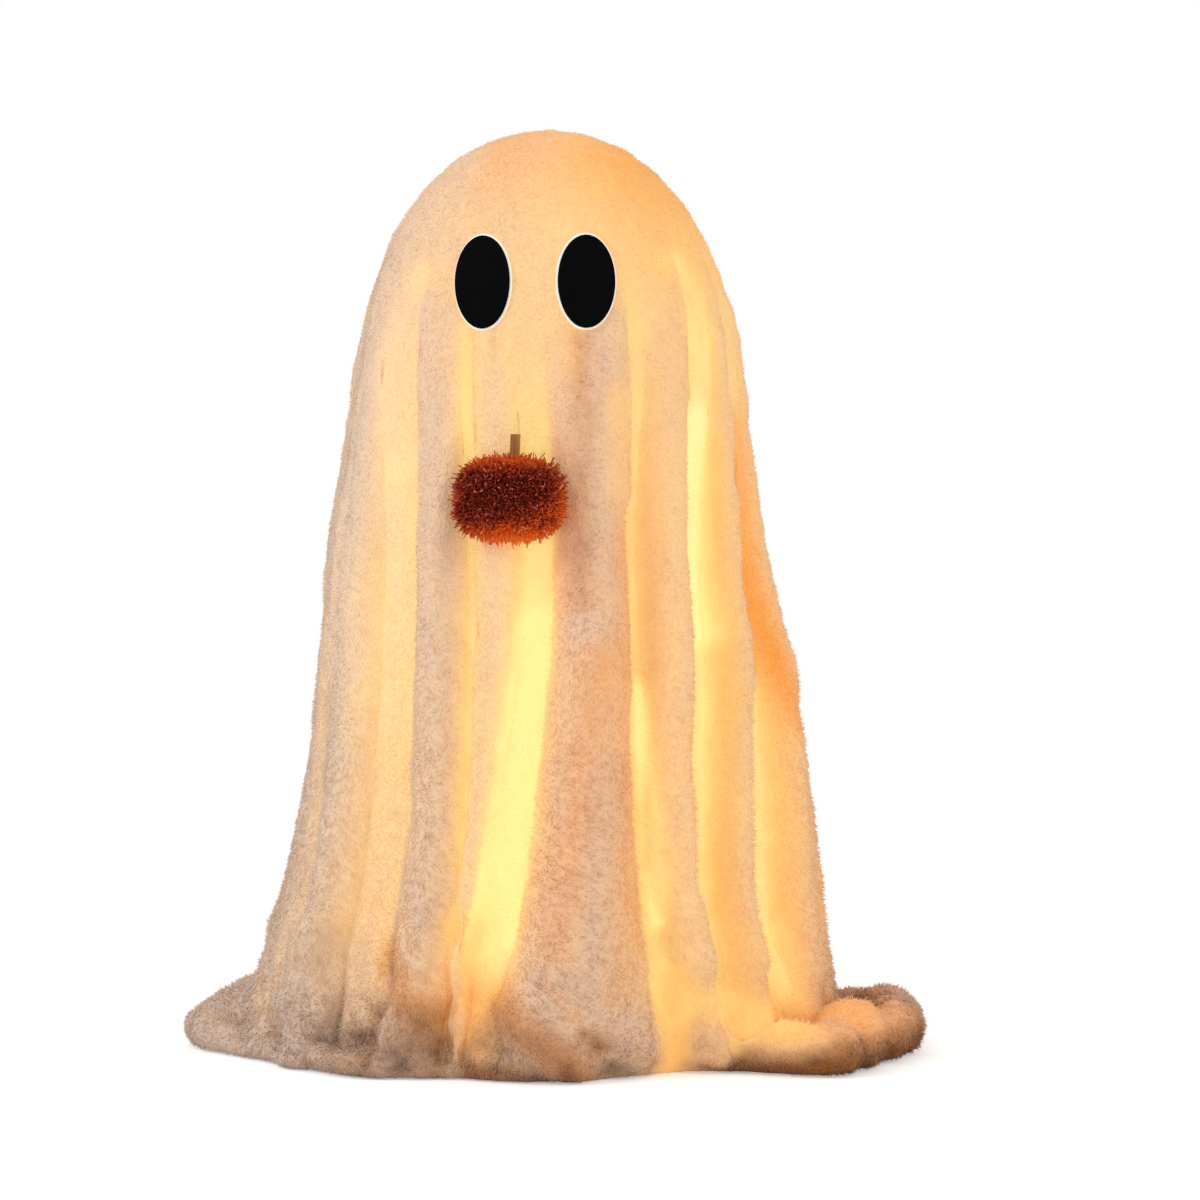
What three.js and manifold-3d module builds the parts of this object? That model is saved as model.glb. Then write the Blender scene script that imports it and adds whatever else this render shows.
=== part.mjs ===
// A light-up ghost decoration: a plush cloth hangs in folds over a frosted head shell, which stands on
// six uprights in a round base. A string of lights winds up the uprights from a battery case.
// Millimetres, +Z up. The origin is the middle of the base plate's underside, and the ghost faces -Y.
import * as THREE from "three";
import { mergeVertices } from "three/addons/utils/BufferGeometryUtils.js";
import Module from "manifold-3d";

const wasm = await Module();
wasm.setup();

// General
const seatGap = 0.3; // between pieces that touch
const slideGap = 0.3; // round a piece that slides

// Cloth cover
const coverHeight = 500;
const shoulderHeight = 400; // the dome of the head ends here
const shoulderRadius = 98.5;
const crownFlat = 52; // how far the crown's curve runs level, and so on for the curves that follow it
const shoulderUp = 55;
const shoulderIn = 10.5;
const bodyDown = 70;
const bodyOut = 14.5;
const flareUp = 85;
const flareIn = 16;
const flareHeight = 60; // the cloth starts to spread over the floor here
const flareRadius = 156;
const clothThickness = 4;
const foldDepth = 25; // crest to valley, on the lower half
const foldStartHeight = shoulderHeight;
const foldFullHeight = 255;
const hemRadius = 140; // where the cloth ends on the floor, between the lobes
const hemRoll = 26; // how high the gathered hem stands
const hemCrease = 20; // height of the crease between the folds and the gathered hem
const hemWave = 9; // how much further the crests reach over the floor than the valleys
const coverClearance = 2; // between the cloth and the lights
const lean = 6; // how much further the lower half bulges to the right than in the middle
const leanTop = 270;

// Folds: the angle of each crest from the front, at the shoulder and at the hem, and its share of the depth
const folds = [
  { top: -66, hem: -62, rise: 0.9 },
  { top: -36, hem: -26, rise: 1 },
  { top: -17, hem: -13, rise: 0.3 },
  { top: 11, hem: 7, rise: 1.05 },
  { top: 38, hem: 30, rise: 1 },
  { top: 59, hem: 46, rise: 0.95 },
  { top: 83, hem: 69, rise: 1.05 },
  { top: 107, hem: 97, rise: 1 },
  { top: 131, hem: 126, rise: 1.05 },
  { top: 155, hem: 154, rise: 0.9 },
  { top: 180, hem: 181, rise: 1 },
  { top: 204, hem: 207, rise: 0.95 },
  { top: 226, hem: 230, rise: 1.05 },
  { top: 248, hem: 252, rise: 0.9 },
  { top: 271, hem: 275, rise: 1.05 },
];
const crestBreadth = 0.6; // under 1 gives broad crests and narrow valleys

// Lobes of cloth that lie on the floor: angle from the front, extra reach and half width in degrees
const lobes = [
  { angle: -92, reach: 57, width: 13 },
  { angle: -50, reach: 26, width: 22 },
  { angle: 54, reach: 50, width: 16 },
  { angle: 88, reach: 58, width: 24 },
  { angle: 113, reach: 26, width: 14 },
  { angle: 146, reach: 36, width: 16 },
  { angle: 188, reach: 42, width: 20 },
  { angle: 232, reach: 38, width: 18 },
];

// Base plate
const baseRadius = 116;
const baseThickness = 4;
const bossRadius = 5;
const bossHeight = 12;
const socketDepth = 14; // of the uprights in the bosses and the plate

// Uprights and rings
const uprightCount = 6;
const uprightFirst = 30; // degrees from the front
const uprightRadius = 2;
const uprightFoot = 106; // their distance from the middle, at the plate
const ringWire = 1.25; // radius
const ringCount = 3;

// Head shell
const shellWall = 2;
const shellClearance = 0.6; // between the shell and the cloth
const rimDrop = 8; // the rim's underside is this far below the shoulder
const rimThickness = 5;
const rimSocketInset = 12.5; // from the shell's inside to the uprights
const rimInset = 11; // from the uprights to the rim's inner edge
const rimSocketDepth = 4;

// String of lights
const wireRadius = 0.6;
const beadRadius = 2.2;
const beadLength = 5.5;
const windStart = 45; // degrees from the front
const windBase = 20; // height of the first turn
const windPitch = 128;
const windStep = 15; // degrees for each straight stretch of wire
const windMargin = 14; // under the rim, left free of turns
const beadEvery = 9; // stretches
const loopSteps = 20; // of the loop in the head
const loopRise = 13; // of the loop's start, above the rim
const loopClimb = 8;

// Battery case, for three cells side by side
const cellCount = 3;
const cellRadius = 7.2;
const cellLength = 49.3;
const cellNubRadius = 2.7;
const cellNub = 1.2;
const cellPitch = 15.2;
const caseWall = 2;
const caseBack = 84.6; // its far end, along Y
const springLength = 4.2;
const contactThickness = 1;
const contactSide = 10;
const switchBay = 14; // length of the bay for the switch
const switchBayHeight = 13;
const doorThickness = 1.7;
const doorLip = 1; // of the case, over the door's edges
const doorTongue = 1; // how far the door's edges run in the walls
const boardThickness = 1.6;
const knobWidth = 5;
const knobHeight = 3.4;
const knobReach = 2;
const switchTravel = 4;
const glandLength = 9;
const glandRadius = 2.6;
const screwRadius = 1.4;
const screwHeadRadius = 2.8;
const screwHead = 1.6;
const earLength = 8;
const earThickness = 2.5;

// Eyes
const eyeWidth = 30;
const eyeHeight = 50;
const eyeDrop = 89; // of an eye's middle, under the crown
const eyeThickness = 1.2;
const eyeAngles = { right_eye: -20.5, left_eye: 11.7 };
const backingBorder = 1.3; // how much of the pale backing shows round an eye
const backingThickness = 0.8;

// Pumpkin
const pumpkinAngle = -8.5;
const pumpkinDrop = 103.5; // of its middle, under the shoulder
const pumpkinHalf = { across: 27.5, deep: 15, up: 17.5 }; // of the bristles' backing
const pumpkinSquareness = 2.6; // over 2 gives flatter faces
const backingDepth = 2.5; // of the bristles' backing
const bristleBands = 10;
const bristleColumns = 22;
const bristleLength = 5;
const bristleInset = 0.42; // of a face, to a bristle's foot
const stemRadius = 3;
const stemLength = 25;
const stemShows = 16;
const glueRadius = 8;
const glueThickness = 1.4;

// Materials
const finish = (color, roughness, metalness = 0, more = {}) =>
  new THREE.MeshStandardMaterial({ color, roughness, metalness, ...more });
const plush = finish(0xf3e3cf, 1);
const feltBlack = finish(0x0b0a0c, 0.95);
const feltWhite = finish(0xf4ece0, 0.95);
const frosted = finish(0xf2efe8, 0.45, 0, { transparent: true, opacity: 0.85 });
const whitePlastic = finish(0xece9e2, 0.4);
const wireSteel = finish(0xb9bbbd, 0.35, 1);
const copper = finish(0xb87a4b, 0.35, 1);
const warmLed = finish(0xffe9b8, 0.2, 0, { emissive: 0xffc865 });
const blackPlastic = finish(0x1b1b1d, 0.45);
const cellWrap = finish(0x3d6b58, 0.35, 0.3);
const nickel = finish(0xc9c7c1, 0.25, 1);
const boardGreen = finish(0x1f5a3a, 0.5);
const bristleOrange = finish(0xb8460f, 0.6);
const foamOrange = finish(0xc76a2c, 0.9);
const stemWood = finish(0x8a6a3c, 0.85);
const glueClear = finish(0xe8dcc0, 0.3);

const ghost = new THREE.Group();

// A solid from a geometry whose shared vertices are merged by place.
function solidOf(geometry) {
  const bare = geometry.index ? geometry.toNonIndexed() : geometry.clone();
  bare.deleteAttribute("normal");
  bare.deleteAttribute("uv");
  const merged = mergeVertices(bare, 1e-4);
  return new wasm.Manifold(
    new wasm.Mesh({
      numProp: 3,
      vertProperties: merged.attributes.position.array,
      triVerts: new Uint32Array(merged.index.array),
    }),
  );
}

function geometryOf(solid) {
  const made = solid.getMesh();
  return new THREE.BufferGeometry()
    .setAttribute("position", new THREE.BufferAttribute(made.vertProperties, made.numProp))
    .setIndex(new THREE.BufferAttribute(made.triVerts, 1));
}

function addPiece(name, shape, material) {
  const geometry = shape.isBufferGeometry ? shape : geometryOf(shape);
  geometry.computeVertexNormals();
  const mesh = new THREE.Mesh(geometry, material);
  mesh.name = name;
  ghost.add(mesh);
  return mesh;
}

const radians = THREE.MathUtils.degToRad;

// A point at an angle from the front, a distance from the axis and a height.
function around(angle, radius, z) {
  return new THREE.Vector3(radius * Math.sin(radians(angle)), -radius * Math.cos(radians(angle)), z);
}

// A cylinder with its axis along +Z, between two heights, moved to x, y.
function post(radius, low, high, x = 0, y = 0, sides = 16) {
  return new THREE.CylinderGeometry(radius, radius, high - low, sides)
    .rotateX(Math.PI / 2)
    .translate(x, y, (low + high) / 2);
}

// A cylinder between two points.
function rod(from, to, radius, sides) {
  const along = new THREE.Vector3().subVectors(to, from);
  const turn = new THREE.Quaternion().setFromUnitVectors(
    new THREE.Vector3(0, 1, 0),
    along.clone().normalize(),
  );
  const middle = new THREE.Vector3().addVectors(from, to).multiplyScalar(0.5);
  return new THREE.CylinderGeometry(radius, radius, along.length(), sides)
    .applyQuaternion(turn)
    .translate(middle.x, middle.y, middle.z);
}

function block(low, high) {
  return new THREE.BoxGeometry(high[0] - low[0], high[1] - low[1], high[2] - low[2]).translate(
    (low[0] + high[0]) / 2,
    (low[1] + high[1]) / 2,
    (low[2] + high[2]) / 2,
  );
}

// A turned solid about +Z, from a closed list of [radius, height] that runs so that faces point out.
function turned(profile, sides) {
  const points = [...profile, profile[0]].map(([radius, z]) => new THREE.Vector2(radius, z));
  return new THREE.LatheGeometry(points, sides).rotateX(Math.PI / 2);
}

// A closed surface from rows of points of equal length, with a pole before the first and after the last row.
function closedRows(firstPole, rows, lastPole) {
  const columns = rows[0].length;
  const points = [firstPole, ...rows.flat(), lastPole];
  const at = (row, column) => 1 + row * columns + (column % columns);
  const faces = [];
  for (let c = 0; c < columns; c += 1) {
    faces.push(0, at(0, c), at(0, c + 1));
    for (let r = 0; r + 1 < rows.length; r += 1) {
      faces.push(at(r, c), at(r + 1, c), at(r + 1, c + 1));
      faces.push(at(r, c), at(r + 1, c + 1), at(r, c + 1));
    }
    faces.push(points.length - 1, at(rows.length - 1, c + 1), at(rows.length - 1, c));
  }
  return new THREE.BufferGeometry().setFromPoints(points).setIndex(faces);
}

// A tube of flat-sided rings along a list of points, closed at both ends.
function tubeAlong(points, radius, sides) {
  const rings = [];
  let across = new THREE.Vector3(0, 0, 1);
  points.forEach((point, i) => {
    const before = points[Math.max(i - 1, 0)];
    const after = points[Math.min(i + 1, points.length - 1)];
    const ahead = new THREE.Vector3().subVectors(after, before).normalize();
    across = across.clone().addScaledVector(ahead, -across.dot(ahead)).normalize();
    const up = new THREE.Vector3().crossVectors(ahead, across);
    rings.push(
      Array.from({ length: sides }, (_, k) => {
        const turn = (2 * Math.PI * k) / sides;
        return point
          .clone()
          .addScaledVector(across, radius * Math.cos(turn))
          .addScaledVector(up, radius * Math.sin(turn));
      }),
    );
  });
  return closedRows(points.at(-1), rings.reverse(), points[0]);
}

const blend = (low, high, share) => low + (high - low) * share;
const eased = (share) => {
  const held = THREE.MathUtils.clamp(share, 0, 1);
  return held * held * (3 - 2 * held);
};

// Cloth profile, as [radius, height]: a cubic for the dome and one for the body
const domeHandles = [
  [0, coverHeight],
  [crownFlat, coverHeight],
  [shoulderRadius - shoulderIn, shoulderHeight + shoulderUp],
  [shoulderRadius, shoulderHeight],
];
const bodyHandles = [
  [shoulderRadius, shoulderHeight],
  [shoulderRadius + bodyOut, shoulderHeight - bodyDown],
  [flareRadius - flareIn, flareHeight + flareUp],
  [flareRadius, flareHeight],
];
const domeShares = [0.25, 0.5, 0.75, 1];
const bodyShares = [0.25, 0.5, 0.75, 1];

function cubicAt(handles, share) {
  const rest = 1 - share;
  const weights = [rest ** 3, 3 * rest * rest * share, 3 * rest * share * share, share ** 3];
  return [0, 1].map((k) => handles.reduce((sum, handle, i) => sum + weights[i] * handle[k], 0));
}

// The radius of a profile's straight stretches at a height, from a list of [radius, height] that runs down.
function radiusAt(profile, z) {
  const next = Math.max(1, profile.findIndex(([, height]) => height <= z));
  const [upperRadius, upper] = profile[next - 1];
  const [lowerRadius, lower] = profile[next];
  return blend(lowerRadius, upperRadius, (z - lower) / (upper - lower));
}

// Head shell: the cloth's dome, smaller by the cloth and its clearance
const shellOffset = clothThickness + shellClearance;
const shellOutside = [0, ...domeShares].map((share) => {
  const [radius, z] = cubicAt(domeHandles, share);
  const outward = offsetWay(domeHandles, share);
  return [Math.max(0, radius - shellOffset * outward[0]), z - shellOffset * outward[1]];
});
const shellInside = [0, ...domeShares].map((share) => {
  const [radius, z] = cubicAt(domeHandles, share);
  const outward = offsetWay(domeHandles, share);
  const depth = shellOffset + shellWall;
  return [Math.max(0, radius - depth * outward[0]), z - depth * outward[1]];
});

// The way out of a cubic profile, as [radius, height].
function offsetWay(handles, share) {
  const near = cubicAt(handles, Math.max(0, share - 0.01));
  const far = cubicAt(handles, Math.min(1, share + 0.01));
  const run = [far[0] - near[0], far[1] - near[1]];
  const long = Math.hypot(run[0], run[1]);
  return [-run[1] / long, run[0] / long];
}

const shellFootRadius = shellOutside.at(-1)[0];
const shellFootZ = shellOutside.at(-1)[1];
const rimLow = shoulderHeight - rimDrop;
const rimHigh = rimLow + rimThickness;
const uprightHead = shellFootRadius - shellWall - rimSocketInset; // from the axis, at the rim
const rimInner = uprightHead - rimInset;

// The uprights' distance from the axis at a height
const uprightAt = (z) => blend(uprightFoot, uprightHead, (z - baseThickness) / (rimLow - baseThickness));
const wireAt = (z) => uprightAt(z) + uprightRadius + seatGap + wireRadius;
const lightsReach = (z) => wireAt(z) + beadRadius;
const windSteps = Math.floor((360 * (rimLow - windMargin - windBase)) / (windPitch * windStep));
const loopHeight = rimHigh + loopRise;

// Base plate with a boss for each upright, and posts that the battery case is screwed to
const caseHalf = (cellCount * cellPitch) / 2 + 0.2 + caseWall;
const caseFloor = baseThickness + seatGap;
const cellZ = caseFloor + caseWall + seatGap + cellRadius;
const bayBack = caseBack - caseWall;
const bayFront =
  bayBack - seatGap - contactThickness - seatGap - cellLength - cellNub - seatGap - springLength - seatGap;
const caseFront = bayFront - caseWall - switchBay - caseWall;
const screwSpots = [-1, 1].map((side) => [side * (caseHalf + earLength / 2), (bayFront + caseBack) / 2]);
const uprightAngles = Array.from(
  { length: uprightCount },
  (_, i) => uprightFirst + (360 / uprightCount) * i,
);
const uprightLow = baseThickness + bossHeight - socketDepth;

function uprightLine(angle, low, high) {
  return [around(angle, uprightAt(low), low), around(angle, uprightAt(high), high)];
}

function makeBase() {
  const rounding = 1;
  let base = solidOf(
    turned(
      [
        [0, 0],
        [baseRadius, 0],
        [baseRadius, baseThickness - rounding],
        [baseRadius - rounding, baseThickness],
        [0, baseThickness],
      ],
      48,
    ),
  );
  const bossTop = baseThickness + bossHeight;
  for (const angle of uprightAngles) {
    const foot = around(angle, uprightAt(bossTop / 2), 0);
    base = base.add(solidOf(post(bossRadius, baseThickness - 1, bossTop, foot.x, foot.y, 12)));
  }
  for (const angle of uprightAngles) {
    const [low, high] = uprightLine(angle, uprightLow - seatGap, bossTop + 2);
    base = base.subtract(solidOf(rod(low, high, uprightRadius + slideGap, 8)));
  }
  for (const [x, y] of screwSpots) {
    base = base.subtract(solidOf(post(screwRadius + slideGap, 1, baseThickness + 1, x, y, 8)));
  }
  addPiece("base_plate", base, whitePlastic);
}

function makeUprights() {
  uprightAngles.forEach((angle, i) => {
    const [low, high] = uprightLine(angle, uprightLow, rimLow + rimSocketDepth - seatGap);
    addPiece(`upright_${i + 1}`, rod(low, high, uprightRadius, 8), wireSteel);
  });
  for (let i = 0; i < ringCount; i += 1) {
    const z = (rimLow * (i + 1)) / (ringCount + 1);
    const radius = uprightAt(z) - uprightRadius - seatGap - ringWire;
    const ring = new THREE.TorusGeometry(radius, ringWire, 6, 24).translate(0, 0, z);
    addPiece(`ring_${i + 1}`, ring, wireSteel);
  }
}

// The frosted shell under the cloth, with an inner rim that the uprights plug into
function makeHeadShell() {
  const outside = [...shellOutside].reverse();
  const inside = shellInside.slice(1);
  const rimOuter = shellFootRadius;
  let shell = solidOf(
    turned(
      [
        [rimInner, rimHigh],
        [rimInner, rimLow],
        [rimOuter, rimLow],
        ...outside,
        shellInside[0],
        ...inside.slice(0, -1),
        [shellFootRadius - shellWall, Math.max(shellFootZ, rimHigh + 1)],
        [shellFootRadius - shellWall, rimHigh],
      ],
      36,
    ),
  );
  for (const angle of uprightAngles) {
    const [low, high] = uprightLine(angle, rimLow - 2, rimLow + rimSocketDepth);
    shell = shell.subtract(solidOf(rod(low, high, uprightRadius + slideGap, 8)));
  }
  addPiece("head_shell", shell, frosted);
}

// Cover. A place on it is a fold's number, a phase from -0.5 (valley) through 0 (crest) and a profile point.
const phases = [-0.5, -0.25, 0, 0.25];
const foldAt = (i) => folds[(i + folds.length) % folds.length];
const turnOf = (i) => 360 * Math.floor(i / folds.length);

// The angle of a crest at a height.
function crestAngle(i, z) {
  const { top, hem } = foldAt(i);
  return blend(hem, top, eased((z - flareHeight) / (shoulderHeight - flareHeight))) + turnOf(i);
}

function clothAngle(i, phase, z) {
  const here = crestAngle(i, z);
  const beside = crestAngle(phase < 0 ? i - 1 : i + 1, z);
  return blend(here, beside, Math.abs(phase));
}

// The radius of the cloth's outside, between the valley and the crest at that profile point.
function clothRadius(i, phase, [middle, z]) {
  const leanShare = THREE.MathUtils.clamp((leanTop - z) / (leanTop - flareHeight), 0, 1);
  const side = Math.sin(radians(clothAngle(i, phase, z)));
  const crest = middle + lean * side * Math.sin(Math.PI * leanShare);
  const depth = foldDepth * eased((foldStartHeight - z) / (foldStartHeight - foldFullHeight));
  const least = z < shoulderHeight ? lightsReach(Math.max(z, 0)) + coverClearance + clothThickness : 0;
  const valley = Math.min(crest, Math.max(crest - depth, least));
  const wave = (0.5 + 0.5 * Math.cos(2 * Math.PI * phase)) ** crestBreadth;
  return blend(valley, crest, foldAt(i).rise * wave);
}

// How far the cloth reaches over the floor at an angle.
function hemReach(angle) {
  return lobes.reduce((reach, lobe) => {
    const off = THREE.MathUtils.euclideanModulo(angle - lobe.angle + 180, 360) - 180;
    return reach + lobe.reach * Math.exp(-((off / lobe.width) ** 2));
  }, hemRadius);
}

// One row of the cover all round, where place(i, phase) gives [angle, radius, z].
function clothRow(place) {
  return folds.flatMap((_, i) => phases.map((phase) => around(...place(i, phase))));
}

function outerRow(point) {
  return clothRow((i, phase) => [
    clothAngle(i, phase, point[1]),
    clothRadius(i, phase, point),
    point[1],
  ]);
}

function innerRow(point, way) {
  return clothRow((i, phase) => [
    clothAngle(i, phase, point[1]),
    clothRadius(i, phase, point) - clothThickness * way[0],
    point[1] - clothThickness * way[1],
  ]);
}

// A row of the hem: a share of the way out over the floor, a height and how much of the fold's wave is left.
function hemRow(share, z) {
  const flare = [flareRadius, flareHeight];
  return clothRow((i, phase) => {
    const angle = clothAngle(i, phase, flareHeight);
    const wave = foldAt(i).rise * Math.cos(Math.PI * phase);
    const tip = hemReach(angle) + hemWave * wave;
    return [angle, blend(clothRadius(i, phase, flare), tip, share), z];
  });
}

const outerRows = [
  ...domeShares.map((share) => outerRow(cubicAt(domeHandles, share))),
  ...bodyShares.map((share) => outerRow(cubicAt(bodyHandles, share))),
  hemRow(0.4, hemCrease),
  hemRow(0.78, hemRoll),
  hemRow(1, hemRoll * 0.45),
  hemRow(0.93, 0),
];
const innerRows = [
  clothRow((i, phase) => {
    const angle = clothAngle(i, phase, flareHeight);
    const hanging = clothRadius(i, phase, [flareRadius, flareHeight]) - clothThickness;
    return [angle, Math.min(hanging, hemReach(angle) - 2 * clothThickness), 0];
  }),
  innerRow([flareRadius, flareHeight], [1, 0]),
  innerRow(cubicAt(bodyHandles, bodyShares[1]), [1, 0]),
  innerRow(cubicAt(bodyHandles, bodyShares[0]), [1, 0]),
  ...[...domeShares]
    .reverse()
    .map((share) => innerRow(cubicAt(domeHandles, share), offsetWay(domeHandles, share))),
];
const crown = new THREE.Vector3(0, 0, coverHeight);
const coverSolid = solidOf(
  closedRows(crown, [...outerRows, ...innerRows], new THREE.Vector3(0, 0, coverHeight - clothThickness)),
);
const filledCover = solidOf(closedRows(crown, outerRows, new THREE.Vector3(0, 0, 0)));

// How far the cloth reaches out within a disc at an angle and a height.
function clothReach(angle, z, radius) {
  const probe = post(radius, 0, 2 * shoulderRadius, 0, 0, 12)
    .rotateX(Math.PI / 2)
    .translate(0, 0, z);
  return -filledCover.rotate([0, 0, -angle]).intersect(solidOf(probe)).boundingBox().min[1];
}

// A piece cut back from the cloth by a gap, along an angle
function offCloth(geometry, angle, gap) {
  const out = around(angle, gap, 0);
  return largest(solidOf(geometry).subtract(filledCover.translate([out.x, out.y, 0])));
}

function makeCover() {
  addPiece("plush_cover", coverSolid, plush);
}

// A felt oval on the cloth, upright as seen from the front: the space between two copies of the cloth's outside,
// moved out along the oval's way.
function ovalOnCloth(angle, width, height, gap, thickness) {
  const middleHeight = coverHeight - eyeDrop;
  const aside = clothReach(angle, middleHeight, backingBorder) * Math.sin(radians(angle));
  const across = (width / 2) * Math.cos(radians(angle));
  const outline = new THREE.Shape().absellipse(0, 0, across, height / 2, 0, 2 * Math.PI);
  const prism = new THREE.ExtrudeGeometry(outline, {
    depth: shoulderRadius,
    bevelEnabled: false,
    curveSegments: 16,
  })
    .rotateX(Math.PI / 2)
    .translate(aside, -shoulderRadius / 3, middleHeight);
  const out = around(angle, 1, 0);
  const moved = (by) => filledCover.translate([out.x * by, out.y * by, 0]);
  return solidOf(prism)
    .intersect(moved(gap + thickness))
    .subtract(moved(gap));
}

function makeEyes() {
  for (const [name, angle] of Object.entries(eyeAngles)) {
    const backing = ovalOnCloth(
      angle,
      eyeWidth + 2 * backingBorder,
      eyeHeight + 2 * backingBorder,
      1.5 * seatGap,
      backingThickness,
    );
    const eye = ovalOnCloth(
      angle,
      eyeWidth,
      eyeHeight,
      3 * seatGap + backingThickness,
      eyeThickness,
    );
    addPiece(`${name}_backing`, backing, feltWhite);
    addPiece(name, eye, feltBlack);
  }
}

// Pumpkin. A place on its surface is a turn about its own upright axis and a lean from its top.
function pumpkinPoint(turn, lean, inset) {
  const rounded = (value) => Math.sign(value) * Math.abs(value) ** (2 / pumpkinSquareness);
  const round = rounded(Math.sin(lean));
  return new THREE.Vector3(
    (pumpkinHalf.across - inset) * round * Math.sin(turn),
    -(pumpkinHalf.deep - inset) * round * Math.cos(turn),
    (pumpkinHalf.up - inset) * rounded(Math.cos(lean)),
  );
}

const pumpkinTurn = radians(pumpkinAngle);
const pumpkinZ = shoulderHeight - pumpkinDrop;
const pumpkinOut = clothReach(pumpkinAngle, pumpkinZ, glueRadius) + glueThickness + pumpkinHalf.deep;
const pumpkinPlace = around(pumpkinAngle, pumpkinOut, pumpkinZ);
const placed = (geometry) =>
  geometry.rotateZ(pumpkinTurn).translate(pumpkinPlace.x, pumpkinPlace.y, pumpkinPlace.z);

// Bristles stand on the faces of their backing, which is open at the top for the stem and at the bottom
function makeBristles() {
  const openLean = radians(16);
  const lean = (share) => blend(openLean, Math.PI - openLean, share);
  const ring = (share, inset) =>
    Array.from({ length: bristleColumns }, (_, c) =>
      pumpkinPoint((2 * Math.PI * c) / bristleColumns, lean(share), inset),
    );
  const outer = Array.from({ length: bristleBands + 1 }, (_, b) => ring(b / bristleBands, 0));
  const innerBands = 5;
  const inner = Array.from({ length: innerBands + 1 }, (_, b) => ring(1 - b / innerBands, backingDepth));
  const faces = [];
  let count = 0;
  const face = (a, b, c) => faces.push(a, b, c);
  function bristled(a, b, c) {
    const middle = new THREE.Vector3().add(a).add(b).add(c).divideScalar(3);
    const way = new THREE.Vector3()
      .crossVectors(b.clone().sub(a), c.clone().sub(a))
      .normalize();
    if (way.y > 0.5) {
      face(a, b, c);
      return;
    }
    count += 1;
    const feet = [a, b, c].map((corner) => corner.clone().lerp(middle, bristleInset));
    const sway = new THREE.Vector3(Math.sin(count * 2.4), Math.cos(count * 1.7), Math.sin(count * 3.1));
    const tip = middle.clone().addScaledVector(way.addScaledVector(sway, 0.16), bristleLength);
    [a, b, c].forEach((corner, k) => {
      const next = (k + 1) % 3;
      const nextCorner = [a, b, c][next];
      face(corner, nextCorner, feet[next]);
      face(corner, feet[next], feet[k]);
      face(feet[k], feet[next], tip);
    });
  }
  const band = (upper, lower, make) => {
    upper.forEach((_, c) => {
      const next = (c + 1) % bristleColumns;
      make(upper[c], lower[c], lower[next]);
      make(upper[c], lower[next], upper[next]);
    });
  };
  for (let b = 0; b < bristleBands; b += 1) band(outer[b], outer[b + 1], bristled);
  band(outer.at(-1), inner[0], face);
  for (let b = 0; b < innerBands; b += 1) band(inner[b], inner[b + 1], face);
  band(inner.at(-1), outer[0], face);
  console.log(`${count} bristles`);
  const pile = placed(new THREE.BufferGeometry().setFromPoints(faces));
  addPiece("pumpkin_bristles", offCloth(pile, pumpkinAngle, seatGap), bristleOrange);
}

function makePumpkin() {
  makeBristles();
  const bands = 6;
  const rows = Array.from({ length: bands - 1 }, (_, b) =>
    Array.from({ length: bristleColumns }, (_, c) =>
      pumpkinPoint(
        (2 * Math.PI * c) / bristleColumns,
        (Math.PI * (b + 1)) / bands,
        backingDepth + 3 * seatGap,
      ),
    ),
  );
  const coreTop = pumpkinHalf.up - backingDepth - 3 * seatGap;
  const stemFoot = pumpkinHalf.up + stemShows - stemLength;
  const pole = (z) => new THREE.Vector3(0, 0, z);
  const hole = post(stemRadius + slideGap, stemFoot - seatGap, pumpkinHalf.up + 1, 0, 0, 10);
  const core = solidOf(closedRows(pole(coreTop), rows, pole(-coreTop))).subtract(solidOf(hole));
  addPiece("pumpkin_core", offCloth(placed(geometryOf(core)), pumpkinAngle, seatGap), foamOrange);
  const stem = turned(
    [
      [0, stemFoot],
      [stemRadius * 0.9, stemFoot],
      [stemRadius, pumpkinHalf.up + stemShows],
      [0, pumpkinHalf.up + stemShows],
    ],
    10,
  );
  addPiece("pumpkin_stem", placed(stem), stemWood);
}

// The dot of glue between the pumpkin's bare back and the cloth, cut to the cloth
function makeGlueDot() {
  const front = pumpkinHalf.deep + seatGap;
  const dot = new THREE.CylinderGeometry(glueRadius, glueRadius, front, 12).translate(0, 1.5 * front, 0);
  addPiece("pumpkin_glue", offCloth(placed(dot), pumpkinAngle, 1.2 * seatGap), glueClear);
}

function largest(solid) {
  return solid.decompose().sort((a, b) => b.volume() - a.volume())[0];
}

// Battery case
const bayHalf = caseHalf - caseWall;
const doorLow = cellZ + cellRadius + 0.7;
const doorHigh = doorLow + doorThickness;
const caseHigh = doorHigh + slideGap + doorLip;
const bayLid = doorLow - slideGap; // the switch bay's top, which the door passes over
const switchZ = caseFloor + caseWall + switchBayHeight / 2;
const bayStart = caseFront + caseWall;
const glandY = bayStart + switchBay / 2;
const glandZ = caseFloor + caseWall + glandRadius;

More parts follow.
